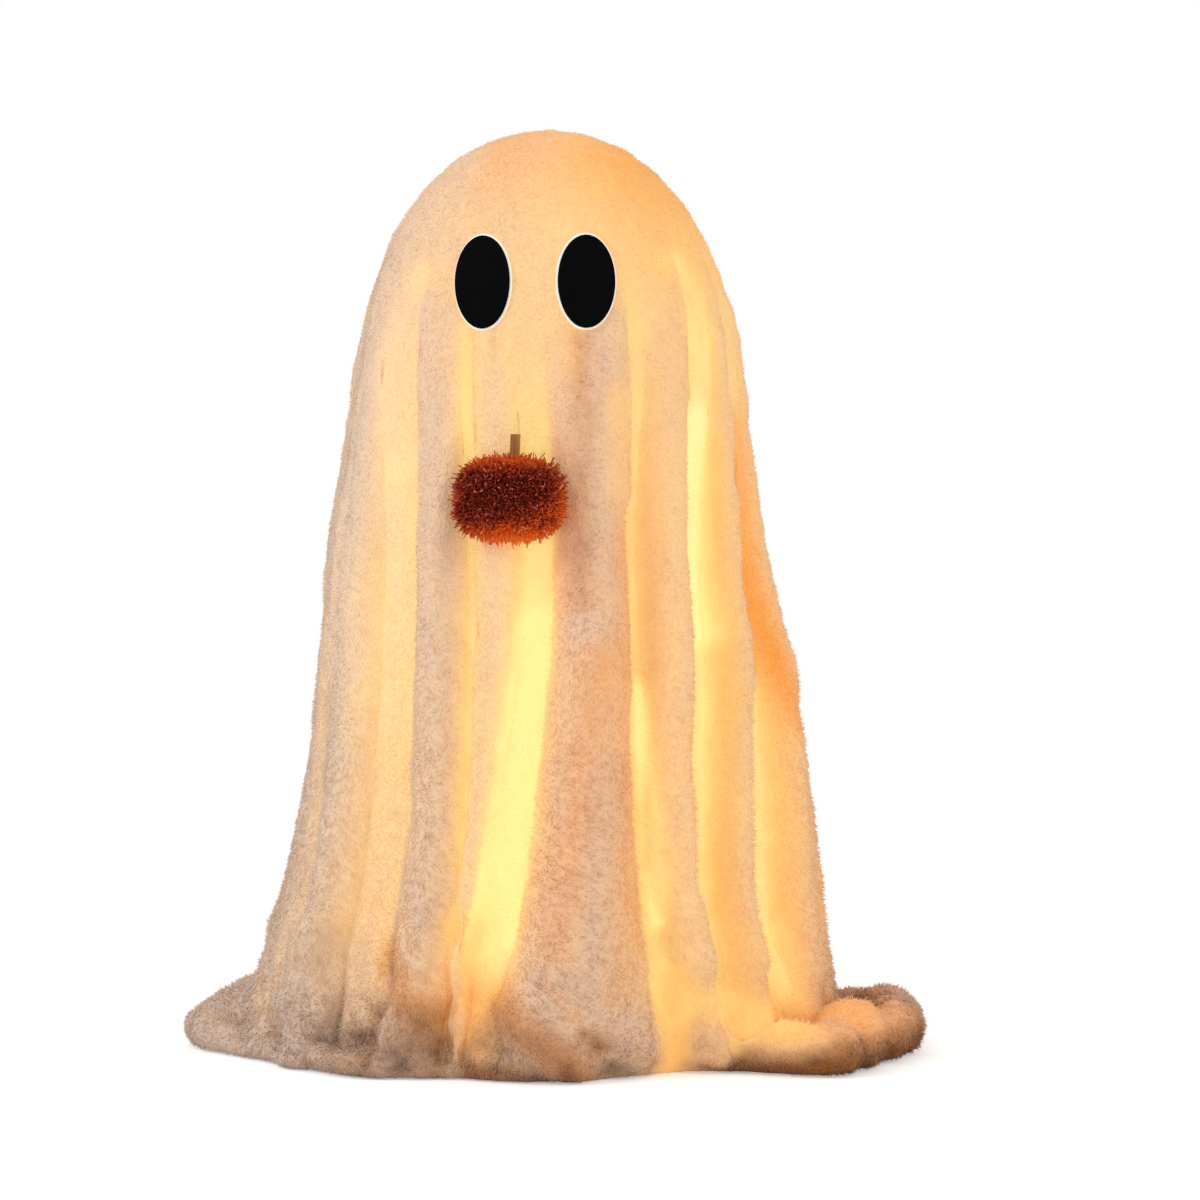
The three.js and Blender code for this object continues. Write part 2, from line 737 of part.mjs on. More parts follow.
function makeBatteryCase() {
  const tongueHalf = bayHalf + doorTongue + slideGap;
  let tray = solidOf(block([-caseHalf, bayFront - caseWall, caseFloor], [caseHalf, caseBack, caseHigh]));
  const lidBlock = block([-caseHalf, caseFront, caseFloor], [caseHalf, bayFront - caseWall + 1, bayLid]);
  tray = tray.add(solidOf(lidBlock));
  for (const [x, y] of screwSpots) {
    const inward = Math.sign(x) * (caseHalf - 1);
    const [low, high] = [Math.min(inward, x), Math.max(inward, x)];
    const ear = block([low, y - earLength / 2, caseFloor], [high, y + earLength / 2, caseFloor + earThickness]);
    tray = tray.add(solidOf(ear));
    tray = tray.add(solidOf(post(earLength / 2, caseFloor, caseFloor + earThickness, x, y, 16)));
  }
  for (const [x, y] of screwSpots) {
    tray = tray.subtract(
      solidOf(post(screwRadius + slideGap, caseFloor - 1, caseFloor + earThickness + 1, x, y, 8)),
    );
  }
  const bay = block([-bayHalf, bayFront, caseFloor + caseWall], [bayHalf, bayBack, caseHigh + 1]);
  const grooves = block([-tongueHalf, bayFront - caseWall - 1, bayLid], [tongueHalf, bayBack, doorHigh + slideGap]);
  const doorway = block([-bayHalf, bayFront - caseWall - 1, bayLid], [bayHalf, bayFront + 1, caseHigh + 1]);
  const switchSpace = block(
    [-bayHalf, bayStart, caseFloor + caseWall],
    [bayHalf, bayStart + switchBay, caseFloor + caseWall + switchBayHeight],
  );
  const slot = block(
    [-(knobWidth / 2 + slideGap), caseFront - 1, switchZ - knobHeight / 2 - slideGap],
    [knobWidth / 2 + slideGap + switchTravel, bayStart + 1, switchZ + knobHeight / 2 + slideGap],
  );
  for (const cut of [bay, grooves, doorway, switchSpace, slot]) tray = tray.subtract(solidOf(cut));
  const wireHole = post(wireRadius + slideGap, bayHalf - 1, caseHalf + 1, 0, 0, 8)
    .rotateY(Math.PI / 2)
    .translate(0, glandY, glandZ);
  addPiece("battery_case", tray.subtract(solidOf(wireHole)), blackPlastic);
}

function makeBatteryDoor() {
  const half = bayHalf + doorTongue;
  const start = bayFront - caseWall + slideGap;
  const end = bayBack - slideGap;
  let door = solidOf(block([-half, start, doorLow], [half, end, doorHigh]));
  const gripHalf = bayHalf * 0.4;
  for (let i = 0; i < 3; i += 1) {
    const y = start + 8 + 3.2 * i;
    door = door.add(solidOf(block([-gripHalf, y, doorHigh - 0.5], [gripHalf, y + 1.4, doorHigh + 0.8])));
  }
  addPiece("battery_door", door, blackPlastic);
}

function makeCells() {
  const springHalf = contactSide / 2;
  for (let i = 0; i < cellCount; i += 1) {
    const x = (i - (cellCount - 1) / 2) * cellPitch;
    const flip = i % 2 === 0 ? 1 : -1; // every other cell lies the other way round
    const middle = (bayFront + bayBack) / 2;
    const lying = (geometry) => {
      geometry.rotateX(-Math.PI / 2);
      if (flip < 0) geometry.rotateZ(Math.PI);
      return geometry.translate(x, middle, cellZ);
    };
    const half = (bayBack - bayFront) / 2;
    const nubEnd = half - contactThickness - 2 * seatGap;
    const shoulder = nubEnd - cellNub;
    const foot = shoulder - cellLength;
    const cell = turned(
      [
        [0, foot],
        [cellRadius - 0.6, foot],
        [cellRadius, foot + 0.6],
        [cellRadius, shoulder - 0.6],
        [cellRadius - 0.6, shoulder],
        [cellNubRadius, shoulder],
        [cellNubRadius, nubEnd],
        [0, nubEnd],
      ],
      14,
    );
    addPiece(`cell_${i + 1}`, lying(cell), cellWrap);
    const plate = block(
      [-springHalf, -springHalf, half - seatGap - contactThickness],
      [springHalf, springHalf, half - seatGap],
    );
    addPiece(`contact_plate_${i + 1}`, lying(plate), nickel);
    const springFoot = -half + seatGap;
    const spring = turned(
      [
        [0, springFoot],
        [4.4, springFoot],
        [4.4, springFoot + 0.8],
        [2.6, foot - seatGap],
        [0, foot - seatGap],
      ],
      10,
    );
    addPiece(`contact_spring_${i + 1}`, lying(spring), nickel);
  }
}

function makeSwitch() {
  const boardBack = bayStart + switchBay / 2 - 3;
  const boardHalf = bayHalf - seatGap;
  const board = block(
    [-boardHalf, boardBack - boardThickness, caseFloor + caseWall + seatGap],
    [boardHalf, boardBack, caseFloor + caseWall + switchBayHeight - seatGap],
  );
  addPiece("switch_board", board, boardGreen);
  const knob = block(
    [-knobWidth / 2, caseFront - knobReach, switchZ - knobHeight / 2],
    [knobWidth / 2, boardBack - boardThickness - seatGap, switchZ + knobHeight / 2],
  );
  addPiece("switch_knob", knob, whitePlastic);
  screwSpots.forEach(([x, y], i) => {
    const seat = caseFloor + earThickness + seatGap;
    const screw = turned(
      [
        [0, 1 + seatGap],
        [screwRadius, 1 + seatGap],
        [screwRadius, seat],
        [screwHeadRadius, seat],
        [screwHeadRadius, seat + screwHead * 0.6],
        [screwHeadRadius * 0.6, seat + screwHead],
        [0, seat + screwHead],
      ],
      12,
    ).translate(x, y, 0);
    addPiece(`case_screw_${i + 1}`, screw, nickel);
  });
  const bore = wireRadius + slideGap;
  const gland = turned(
    [
      [bore, 0],
      [glandRadius, 0],
      [glandRadius, 2],
      [bore + 0.7, glandLength],
      [bore, glandLength],
    ],
    10,
  )
    .rotateY(Math.PI / 2)
    .translate(caseHalf + seatGap, glandY, glandZ);
  addPiece("wire_gland", gland, blackPlastic);
}

// String of lights: out of the case, over the plate, up round the uprights, then once round inside the head
function lightRoute() {
  const exit = new THREE.Vector3(caseHalf + seatGap + glandLength + 2, glandY, glandZ);
  const windPoint = (n) => {
    const z = windBase + (windPitch * windStep * n) / 360;
    return around(windStart - windStep * n, wireAt(z), z);
  };
  const first = windPoint(0);
  const ahead = windPoint(1).sub(first).normalize();
  const lead = new THREE.CubicBezierCurve3(
    exit,
    exit.clone().add(new THREE.Vector3(24, 0, -4)),
    first.clone().addScaledVector(ahead, -30).setZ(baseThickness),
    first,
  );
  const leadSteps = 8;
  const points = [new THREE.Vector3(bayHalf - 3, glandY, glandZ)];
  for (let i = 0; i <= leadSteps; i += 1) points.push(lead.getPoint(i / leadSteps));
  for (let n = 1; n <= windSteps; n += 1) points.push(windPoint(n));
  const wound = points.length - 1;
  // In through the rim's hole, then out to the shell's wall
  const endAngle = windStart - windStep * windSteps;
  const endZ = windBase + (windPitch * windStep * windSteps) / 360;
  const narrow = rimInner - 4;
  const inSteps = 4;
  for (let n = 1; n <= inSteps; n += 1) {
    const z = blend(endZ, rimLow - 3, n / inSteps);
    points.push(around(endAngle - windStep * n, blend(wireAt(endZ), narrow, eased(n / inSteps)), z));
  }
  const throughAngle = endAngle - windStep * (inSteps + 1.5);
  points.push(around(throughAngle, narrow, rimHigh + 3));
  const loopAt = (z) => radiusAt(shellInside, z) - beadRadius - 3 * seatGap;
  const outSteps = 4;
  for (let n = 1; n <= outSteps; n += 1) {
    const z = blend(rimHigh + 3, loopHeight, n / outSteps);
    points.push(around(throughAngle - windStep * n, blend(narrow, loopAt(loopHeight), eased(n / outSteps)), z));
  }
  const loopAngle = throughAngle - windStep * outSteps;
  const loopFrom = points.length - 1;
  for (let n = 1; n <= loopSteps; n += 1) {
    const z = loopHeight + (loopClimb * n) / loopSteps;
    points.push(around(loopAngle - windStep * n, loopAt(z), z));
  }
  const windFrom = leadSteps + 1;
  return { points, windFrom, wound, loopFrom };
}

function makeLights() {
  const { points, windFrom, wound, loopFrom } = lightRoute();
  addPiece("light_wire", tubeAlong(points, wireRadius, 6), copper);
  const bore = wireRadius + slideGap;
  const starts = [];
  for (let n = windFrom; n < wound; n += beadEvery) starts.push(n);
  for (let n = loopFrom + 1; n < points.length - 1; n += beadEvery) starts.push(n);
  starts.forEach((n, i) => {
    const half = beadLength / 2;
    const bead = turned(
      [
        [bore, -half],
        [beadRadius * 0.7, -half],
        [beadRadius, -half / 2],
        [beadRadius, half / 2],
        [beadRadius * 0.7, half],
        [bore, half],
      ],
      8,
    );
    const along = points[n + 1].clone().sub(points[n]).normalize();
    const middle = points[n].clone().add(points[n + 1]).multiplyScalar(0.5);
    bead.applyQuaternion(new THREE.Quaternion().setFromUnitVectors(new THREE.Vector3(0, 0, 1), along));
    bead.translate(middle.x, middle.y, middle.z);
    addPiece(`light_${String(i + 1).padStart(2, "0")}`, bead, warmLed);
  });
  // The least gap between turns, on points, and the wire's length
  let least = Infinity;
  let length = 0;
  points.forEach((point, i) => {
    if (i > 0) length += point.distanceTo(points[i - 1]);
    for (let j = i + 12; j < points.length; j += 1) least = Math.min(least, point.distanceTo(points[j]));
  });
  console.log(`light wire: ${length.toFixed(0)} mm long, least gap ${(least - 2 * wireRadius).toFixed(1)} mm`);
}

makeBase();
makeUprights();
makeHeadShell();
makeCover();
makeEyes();
makePumpkin();
makeGlueDot();
makeBatteryCase();
makeBatteryDoor();
makeCells();
makeSwitch();
makeLights();

export default ghost;
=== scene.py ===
import math

import bpy
import numpy as np
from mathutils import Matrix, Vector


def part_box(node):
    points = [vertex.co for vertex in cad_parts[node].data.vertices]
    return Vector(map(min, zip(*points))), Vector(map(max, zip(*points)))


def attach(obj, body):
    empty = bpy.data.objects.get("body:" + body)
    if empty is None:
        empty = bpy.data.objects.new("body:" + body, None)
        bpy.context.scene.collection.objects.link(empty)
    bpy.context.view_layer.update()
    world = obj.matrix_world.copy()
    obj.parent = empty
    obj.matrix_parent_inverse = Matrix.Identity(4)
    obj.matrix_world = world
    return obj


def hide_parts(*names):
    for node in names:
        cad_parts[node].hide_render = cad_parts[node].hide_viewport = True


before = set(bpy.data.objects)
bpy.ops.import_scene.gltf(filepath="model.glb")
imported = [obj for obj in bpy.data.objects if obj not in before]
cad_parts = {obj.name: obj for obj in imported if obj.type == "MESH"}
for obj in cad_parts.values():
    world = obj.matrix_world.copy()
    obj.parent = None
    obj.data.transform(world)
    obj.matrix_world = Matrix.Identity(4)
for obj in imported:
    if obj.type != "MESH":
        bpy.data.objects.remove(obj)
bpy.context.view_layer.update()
mm = 0.001
print("frame loaded")

# Camera, level with the ghost's middle
camera = {"distance": 2.0, "height": 0.25, "lens": 109.7, "shift": (0.0433, -0.0083)}


# A level camera that looks along +Y
def makeCamera():
    data = bpy.data.cameras.new("camera")
    data.lens = camera["lens"]
    data.shift_x, data.shift_y = camera["shift"]
    item = bpy.data.objects.new("camera", data)
    item.location = (0, -camera["distance"], camera["height"])
    item.rotation_euler = (math.radians(90), 0, 0)
    bpy.context.scene.collection.objects.link(item)
    bpy.context.scene.camera = item


makeCamera()
print("camera set")


# Shader wiring. A Value is one output socket; maths on it adds Math nodes.
class Value:
    def __init__(self, maker, socket):
        self.maker, self.socket = maker, socket

    def maths(self, operation, *values):
        return self.maker.node("ShaderNodeMath", {"operation": operation}, values)

    def __add__(self, other):
        return self.maths("ADD", self, other)

    def __sub__(self, other):
        return self.maths("SUBTRACT", self, other)

    def __rsub__(self, other):
        return self.maths("SUBTRACT", other, self)

    def __mul__(self, other):
        return self.maths("MULTIPLY", self, other)

    def __pow__(self, other):
        return self.maths("POWER", self, other)

    __radd__ = __add__
    __rmul__ = __mul__


# The node tree of a new material, or of the world
class Finish:
    def __init__(self, name, kind="materials"):
        self.owner = getattr(bpy.data, kind).new(name)
        self.owner.use_nodes = True
        self.tree = self.owner.node_tree
        self.tree.nodes.clear()

    # Any node: its type, its settings, the values or links of its sockets, and the output that is wanted
    def node(self, kind, settings, values, output=0):
        made = self.tree.nodes.new(kind)
        for key, setting in settings.items():
            if key == "stops":
                self.setStops(made.color_ramp, setting)
            else:
                setattr(made, key, setting)
        pairs = values.items() if isinstance(values, dict) else enumerate(values)
        for key, value in pairs:
            if isinstance(value, Value):
                self.tree.links.new(value.socket, made.inputs[key])
            else:
                made.inputs[key].default_value = value
        return Value(self, made.outputs[output]) if len(made.outputs) else made

    def setStops(self, ramp, stops):
        while len(ramp.elements) < len(stops):
            ramp.elements.new(1)
        for element, (position, colour) in zip(ramp.elements, stops):
            element.position, element.color = position, colour

    def place(self):
        return self.node("ShaderNodeTexCoord", {}, {}, "Object")

    def attribute(self, name):
        return self.node("ShaderNodeAttribute", {"attribute_name": name}, {}, "Fac")

    def noise(self, scale, detail=2.0, stretch=(1, 1, 1)):
        where = self.node("ShaderNodeMapping", {}, {"Vector": self.place(), "Scale": stretch})
        return self.node("ShaderNodeTexNoise", {}, {"Vector": where, "Scale": scale, "Detail": detail})

    def cells(self, scale, **more):
        return self.node("ShaderNodeTexVoronoi", {}, {"Vector": self.place(), "Scale": scale} | more)

    def ramp(self, value, *stops):
        return self.node("ShaderNodeValToRGB", {"stops": stops}, {"Fac": value})

    def between(self, value, low, high):
        return self.node("ShaderNodeMapRange", {}, {"Value": value, "From Min": low, "From Max": high})

    def mixed(self, share, first, second):
        return self.node("ShaderNodeMix", {"data_type": "RGBA"}, {0: share, 6: first, 7: second}, 2)

    def bump(self, height, distance):
        return self.node("ShaderNodeBump", {}, {"Height": height, "Distance": distance})

    def surface(self, **values):
        named = {key.replace("_", " "): value for key, value in values.items()}
        shader = self.node("ShaderNodeBsdfPrincipled", {}, named)
        self.node("ShaderNodeOutputMaterial", {}, {"Surface": shader})
        return self.owner


# A colour as seen on a screen, 0 to 255, as the linear light that Blender works in, opaque
def tone(red, green, blue):
    share = np.array([red, green, blue]) / 255
    linear = np.where(share <= 0.04045, share / 12.92, ((share + 0.055) / 1.055) ** 2.4)
    return (*linear.tolist(), 1.0)


# A grey of so much linear light
def grey(level):
    return (level, level, level, 1.0)


# A mesh from points in millimetres and lists of faces, each list with one number of corners
def makeMesh(name, points, faceLists, material, body):
    corners = np.concatenate([faces.ravel() for faces in faceLists])
    sizes = np.concatenate([np.full(len(faces), faces.shape[1]) for faces in faceLists])
    mesh = bpy.data.meshes.new(name)
    mesh.vertices.add(len(points))
    mesh.vertices.foreach_set("co", (points * mm).astype(np.float32).ravel())
    mesh.loops.add(len(corners))
    mesh.loops.foreach_set("vertex_index", corners.astype(np.int32))
    mesh.polygons.add(len(sizes))
    mesh.polygons.foreach_set("loop_start", (np.cumsum(sizes) - sizes).astype(np.int32))
    mesh.update(calc_edges=True)
    mesh.polygons.foreach_set("use_smooth", np.full(len(sizes), True))
    mesh.materials.append(material)
    piece = bpy.data.objects.new(name, mesh)
    bpy.context.scene.collection.objects.link(piece)
    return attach(piece, body)


# The CAD nodes that a piece stands for are hidden; the piece and its material slot are not used
def standsFor(piece, slot, *nodes):
    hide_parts(*nodes)


# A node's box in millimetres: its low corner, its high corner and its middle
def boxOf(name):
    low, high = (np.array(corner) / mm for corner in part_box(name))
    return low, high, (low + high) / 2


# Even turns all round, from 0
def turns(count):
    return np.arange(count) * 2 * np.pi / count


# Vectors divided by their lengths
def unit(vectors):
    return vectors / np.linalg.norm(vectors, axis=-1, keepdims=True)


# One number for each point of a piece, which its material reads
def addAttribute(piece, name, values):
    layer = piece.data.attributes.new(name, "FLOAT", "POINT")
    layer.data.foreach_set("value", values.astype(np.float32).ravel())


# A UV map named OFBake: each strand's root has a place, 0 to 1, and its points lie round it in a small patch
def addMap(piece, roots, corners, patch=0.007):
    places = roots[:, None] * (1 - patch) + np.array(corners)[None] * patch
    layer = piece.data.uv_layers.new(name="OFBake")
    loops = np.empty(len(piece.data.loops), np.int32)
    piece.data.loops.foreach_get("vertex_index", loops)
    layer.uv.foreach_set("vector", places.reshape(-1, 2)[loops].astype(np.float32).ravel())


# Faces of a grid whose columns run all round: rows go down, columns go from the front to the right
def gridFaces(rows, columns):
    row, column = np.meshgrid(np.arange(rows - 1), np.arange(columns), indexing="ij")
    beside = (column + 1) % columns
    corners = [row * columns + column, (row + 1) * columns + column]
    corners += [(row + 1) * columns + beside, row * columns + beside]
    return np.stack(corners, -1).reshape(-1, 4)


# Triangles from a row of points that runs all round to one point, on its upper or its lower side
def fanFaces(row, point, upper):
    beside = np.roll(row, -1)
    middle = np.full(len(row), point)
    return np.stack([middle, row, beside] if upper else [row, middle, beside], -1)


# Points [rows, columns, 3] closed by a point above the first row and one below the last
def closedMesh(name, grid, top, bottom, material, body):
    rows, columns = grid.shape[:2]
    points = np.concatenate([grid.reshape(-1, 3), [top, bottom]])
    first, last = np.arange(columns), (rows - 1) * columns + np.arange(columns)
    fans = [fanFaces(first, rows * columns, True), fanFaces(last, rows * columns + 1, False)]
    return makeMesh(name, points, [gridFaces(rows, columns), np.concatenate(fans)], material, body)


# 0 to 1 with a level start and end: three times the square less twice the cube
def eased(share):
    held = np.clip(share, 0, 1)
    return held * held * (3 - 2 * held)


# A straight share of the way from one value to another
def blended(low, high, share):
    return low + (high - low) * share


# A smooth curve through values at rising keys: a cubic between neighbours, its slope at each from both sides
def smoothThrough(keys, values, at):
    keys, values, at = np.asarray(keys, float), np.asarray(values, float), np.asarray(at, float)
    slopes = np.gradient(values, keys, axis=0)
    left = np.clip(np.searchsorted(keys, at, side="right") - 1, 0, len(keys) - 2)
    span = keys[left + 1] - keys[left]
    share = np.clip((at - keys[left]) / span, 0, 1)
    shape = (...,) + (None,) * (values.ndim - 1)
    t, span = share[shape], span[shape]
    first = (2 * t**3 - 3 * t**2 + 1) * values[left] + (t**3 - 2 * t**2 + t) * span * slopes[left]
    second = (3 * t**2 - 2 * t**3) * values[left + 1] + (t**3 - t**2) * span * slopes[left + 1]
    return first + second


# The same all round, where the keys are degrees
def smoothRound(keys, values, at):
    keys = np.asarray(keys, float)
    return smoothThrough(np.concatenate([keys - 360, keys, keys + 360]), np.tile(values, 3), at)


# Noise from 0 to 1: values at the corners of cubes of one size, drawn by the corner's place, eased between
# them. The place is hashed with three large primes.
def lumps(points, size, seed):
    primes, count = (73856093, 19349663, 83492791), 4096
    drawn = np.random.default_rng(seed).random(count)
    place = points / size
    corner = np.floor(place).astype(np.int64)
    share = eased(place - corner)
    total = np.zeros(points.shape[:-1])
    for step in np.ndindex(2, 2, 2):
        mixed = np.bitwise_xor.reduce((corner + step) * primes, axis=-1)
        weight = np.prod(np.where(np.array(step) == 1, share, 1 - share), axis=-1)
        total += weight * drawn[mixed % count]
    return total


# A cubic through four handles, the first and last of them its ends
def cubicAt(handles, share):
    t = np.asarray(share, float)[..., None]
    weights = [(1 - t) ** 3, 3 * (1 - t) ** 2 * t, 3 * (1 - t) * t**2, t**3]
    return sum(weight * np.array(handle, float) for weight, handle in zip(weights, handles))


# Where an angle from the front, a radius and a height lie
def around(angle, radius, height):
    turn = np.radians(angle)
    return np.stack([radius * np.sin(turn), -radius * np.cos(turn), height + 0 * radius], -1)


# The turn from one angle to another, -180 to 180
def angleGap(one, other):
    return (one - other + 180) % 360 - 180


# Plush cover. Lengths in millimetres, angles in degrees from the front, plus to the right.
cloth = {
    "height": 500,
    "shoulder": 400,
    "flare": 60,
    "dome": [(0, 500), (52, 500), (88, 455), (98.5, 400)],
    "body": [(98.5, 400), (113, 330), (140, 145), (156, 60)],
    "meanRadius": 130,
    "thickness": 4.0,
    "lean": 6,
    "leanTop": 270,
    "foldFade": 145,  # a fold reaches its depth this far under its start
    "softStart": 0.6,  # how much rounder a fold is where it is shallow, and the depth where that ends
    "softDrop": 16,
    "headRidge": 2.6,  # how proud the crests stand over the head, from which height, over which heights
    "ridgeFoot": 300,
    "ridgeFade": 80,
    "ridgeGrow": 40,
    "uprightFoot": 106,  # the frame's uprights, which the valleys stay outside
    "uprightHead": 79.4,
    "uprightSpan": (4, 392),
    "clearance": 11.1,
    "shellFoot": 390,
    "crown": 62,
    "hemWave": 3,
    "columns": 24,
    "floorColumns": 3,
    "foldPower": 1.5,
    "domeRows": 42,
    "bodyRows": 98,
    "hemRows": 50,
    "insideRows": 52,
}
levels = (0, 80, 245, 400)
# Each fold's crest angle at those levels, how proud it is and how much light comes through it, then the
# valley to its right: its angles, the share of the way to the crests that its floor takes, where it starts,
# how deep it is, its glow at the levels, and, where it isn't the usual, how fast that fades to each crest
foldKeys = ("crest", "rise", "lit", "valley", "floor", "start", "depth", "glow", "fade")
foldRows = [
    ((-60, -57, -66, -66), 0.85, 0.12, (-45, -43, -47, -50), 0.5, 425, 19, (0.1, 0.42, 0.6, 0.5), (0.6, 2.6)),
    ((-31, -26, -29, -36), 1, 0.16, (-23, -20, -21, -25), 0.16, 410, 13, (0.2, 0.62, 0.62, 0.6), (1.4, 1.0)),
    ((-21, -18.5, -14.5, -16), 0.35, 0.42, (-18.5, -14.5, -3.5, -8), 0.32, 385, 21, (0.5, 1.0, 0.85, 0.58),
     (0.7, 2.6)),
    ((5, 8.5, 12, 10.5), 1.0, 0.08, (33, 23.5, 25, 27), 0.14, 425, 21, (0.8, 0.75, 0.68, 0.62), (1.8, 1.7)),
    ((42, 31, 34, 40), 0.95, 0.38, (47, 38, 46, 53), 0.42, 445, 22, (0.5, 0.75, 0.92, 0.8), (2.6, 0.6)),
    ((54, 44.5, 55, 64), 0.95, 0.36, (60, 53.5, 68, 72), 0.45, 430, 20, (0.6, 0.85, 0.7, 0.6), (2.6, 0.6)),
    ((70, 67, 83, 86), 0.95, 0.26, (90, 88, 97, 98), 0.4, 410, 22, (0.2, 0.5, 0.55, 0.5)),
    ((98, 98, 108, 108), 1.0, 0.2, (112, 112, 119, 119), 0.35, 420, 22, (0.2, 0.6, 0.7, 0.5)),
    ((126, 126, 131, 131), 1.05, 0.16, (141, 140, 142, 143), 0.45, 400, 22, (0.2, 0.7, 0.85, 0.6)),
    ((155, 154, 155, 155), 0.9, 0.2, (167, 168, 168, 167), 0.3, 430, 22, (0.2, 0.6, 0.75, 0.6)),
    ((182, 181, 180, 180), 1.0, 0.12, (195, 194, 193, 192), 0.4, 415, 24, (0.3, 0.8, 0.85, 0.6)),
    ((207, 207, 205, 204), 0.95, 0.18, (219, 218, 216, 215), 0.35, 425, 22, (0.2, 0.6, 0.7, 0.55)),
    ((231, 230, 227, 226), 1.05, 0.14, (242, 241, 238, 237), 0.45, 405, 22, (0.2, 0.6, 0.65, 0.5)),
    ((252, 252, 249, 248), 0.9, 0.14, (262, 264, 260, 260), 0.35, 420, 20, (0.1, 0.4, 0.5, 0.4)),
    ((272, 275, 271, 271), 0.9, 0.1, (298, 297, 284, 283), 0.2, 225, 13, (0.05, 0.25, 0.25, 0.2)),
]
folds = [{"fade": (1.2, 1.2)} | dict(zip(foldKeys, row)) for row in foldRows]
# At an angle: how far the hem reaches over the floor, the radius of its roll, how much of it is a plain ramp,
# and how much painted shade darkens it near the floor
hem = [
    (-104, 190, 10, 1.0, 0), (-94, 201, 10, 1.0, 0), (-84, 191, 9, 0.3, 0), (-74, 171, 8.5, 0.1, 0.3),
    (-62, 164, 8, 0, 0.35), (-48, 162, 8, 0, 0.6), (-33, 161, 8, 0.1, 0.85), (-25, 150, 8, 0.5, 0.75),
    (-18, 141, 8, 1.0, 0.6), (-5, 140, 8, 1.0, 0.55), (8, 134, 6, 1.0, 0.35), (18, 131, 5, 1.0, 0.25),
    (27, 128, 4, 1.0, 0), (34, 135, 3, 1.0, 0), (38, 150, 8, 0.5, 0.25), (41, 181, 11.5, 0.0, 0.6),
    (47, 196, 12.5, 0.0, 0.85), (61, 195, 13, 0.0, 0.95), (75, 200, 13, 0.0, 0.9), (90, 206, 13.5, 0.0, 0.8),
    (103, 206, 13.5, 0.0, 1.0), (114, 196, 12, 0.2, 0.9), (128, 170, 11, 0.6, 0.8), (145, 176, 12, 0.3, 0.8),
    (163, 164, 10, 0.8, 0.7), (186, 183, 13, 0.2, 0.8), (208, 168, 11, 0.8, 0.7), (231, 179, 12, 0.2, 0.7),
    (247, 166, 10, 0.8, 0.5),
]


# One column of the hem's table at any angle
def hemAt(column, angles):
    keys, values = (np.array([row[number] for row in hem], float) for number in (0, column))
    return smoothRound(keys, values, angles)


# The wall's profile: radius and height at shares of the way down, 0 to 1 for the dome and 1 to 2 for the body
def wallPlaces(shares):
    dome = cubicAt(cloth["dome"], np.clip(shares, 0, 1))
    body = cubicAt(cloth["body"], np.clip(shares - 1, 0, 1))
    places = np.where(shares[:, None] <= 1, dome, body)
    return places[:, 0], places[:, 1]


# Per column: its fold's number, its share of the way from a crest to the next, and how near a crest it is, 0
# to 1. A half fold runs from the crest down a quarter turn, flattened by a power, to the valley's floor.
def columnPlaces():
    half = cloth["columns"] // 2
    turns = half - cloth["floorColumns"]
    steps = np.arange(half + 1)
    turn = np.radians(90) * (1 - steps / turns).clip(0, 1)
    onFloor = (steps - turns).clip(0) / cloth["floorColumns"]
    wave = np.sin(turn) ** cloth["foldPower"]
    shares = []
    for fold in folds:
        slope = fold["floor"] + (1 - fold["floor"]) * (1 - np.cos(turn))
        fromValley = np.where(steps <= turns, slope, fold["floor"] * (1 - onFloor))
        down = 0.5 * (1 - fromValley)
        shares.append(np.concatenate([down, 1 - down[1:-1][::-1]]))
    waves = np.tile(np.concatenate([wave, wave[1:-1][::-1]]), len(folds))
    return np.repeat(np.arange(len(folds)), cloth["columns"]), np.concatenate(shares), waves


columnFold, columnShare, crestWave = columnPlaces()
leaving = columnShare < 0.5  # the column is on the way down from its own fold's crest, not up to the next


# A fold's value at each of its columns, and the nearer crest's value
def ofFold(key):
    return np.array([fold[key] for fold in folds])[columnFold]


def ofCrest(key):
    values = np.array([fold[key] for fold in folds])
    return np.where(leaving, values[columnFold], np.roll(values, -1)[columnFold])


# Angles of the columns at heights: straight shares between the crests and valleys at that height
def columnAngles(heights):
    tables = (np.array([fold[key] for fold in folds]).T for key in ("crest", "valley"))
    crest, valley = (smoothThrough(levels, table, heights) for table in tables)
    beyond = np.roll(crest, -1, axis=-1) + np.where(np.arange(len(folds)) == len(folds) - 1, 360, 0)
    down = blended(crest[:, columnFold], valley[:, columnFold], np.minimum(2 * columnShare, 1))
    up = blended(valley[:, columnFold], beyond[:, columnFold], np.maximum(2 * columnShare - 1, 0))
    return np.where(leaving, down, up)


# The valley's value on the other side of each column's crest
def besideCrest(values):
    columns = cloth["columns"]
    valley = values.reshape(len(values), len(folds), columns)[..., columns // 2:columns // 2 + 1]
    before, after = np.roll(valley, 1, axis=1), np.roll(valley, -1, axis=1)
    return np.where(np.arange(columns) < columns / 2, before, after).reshape(values.shape)


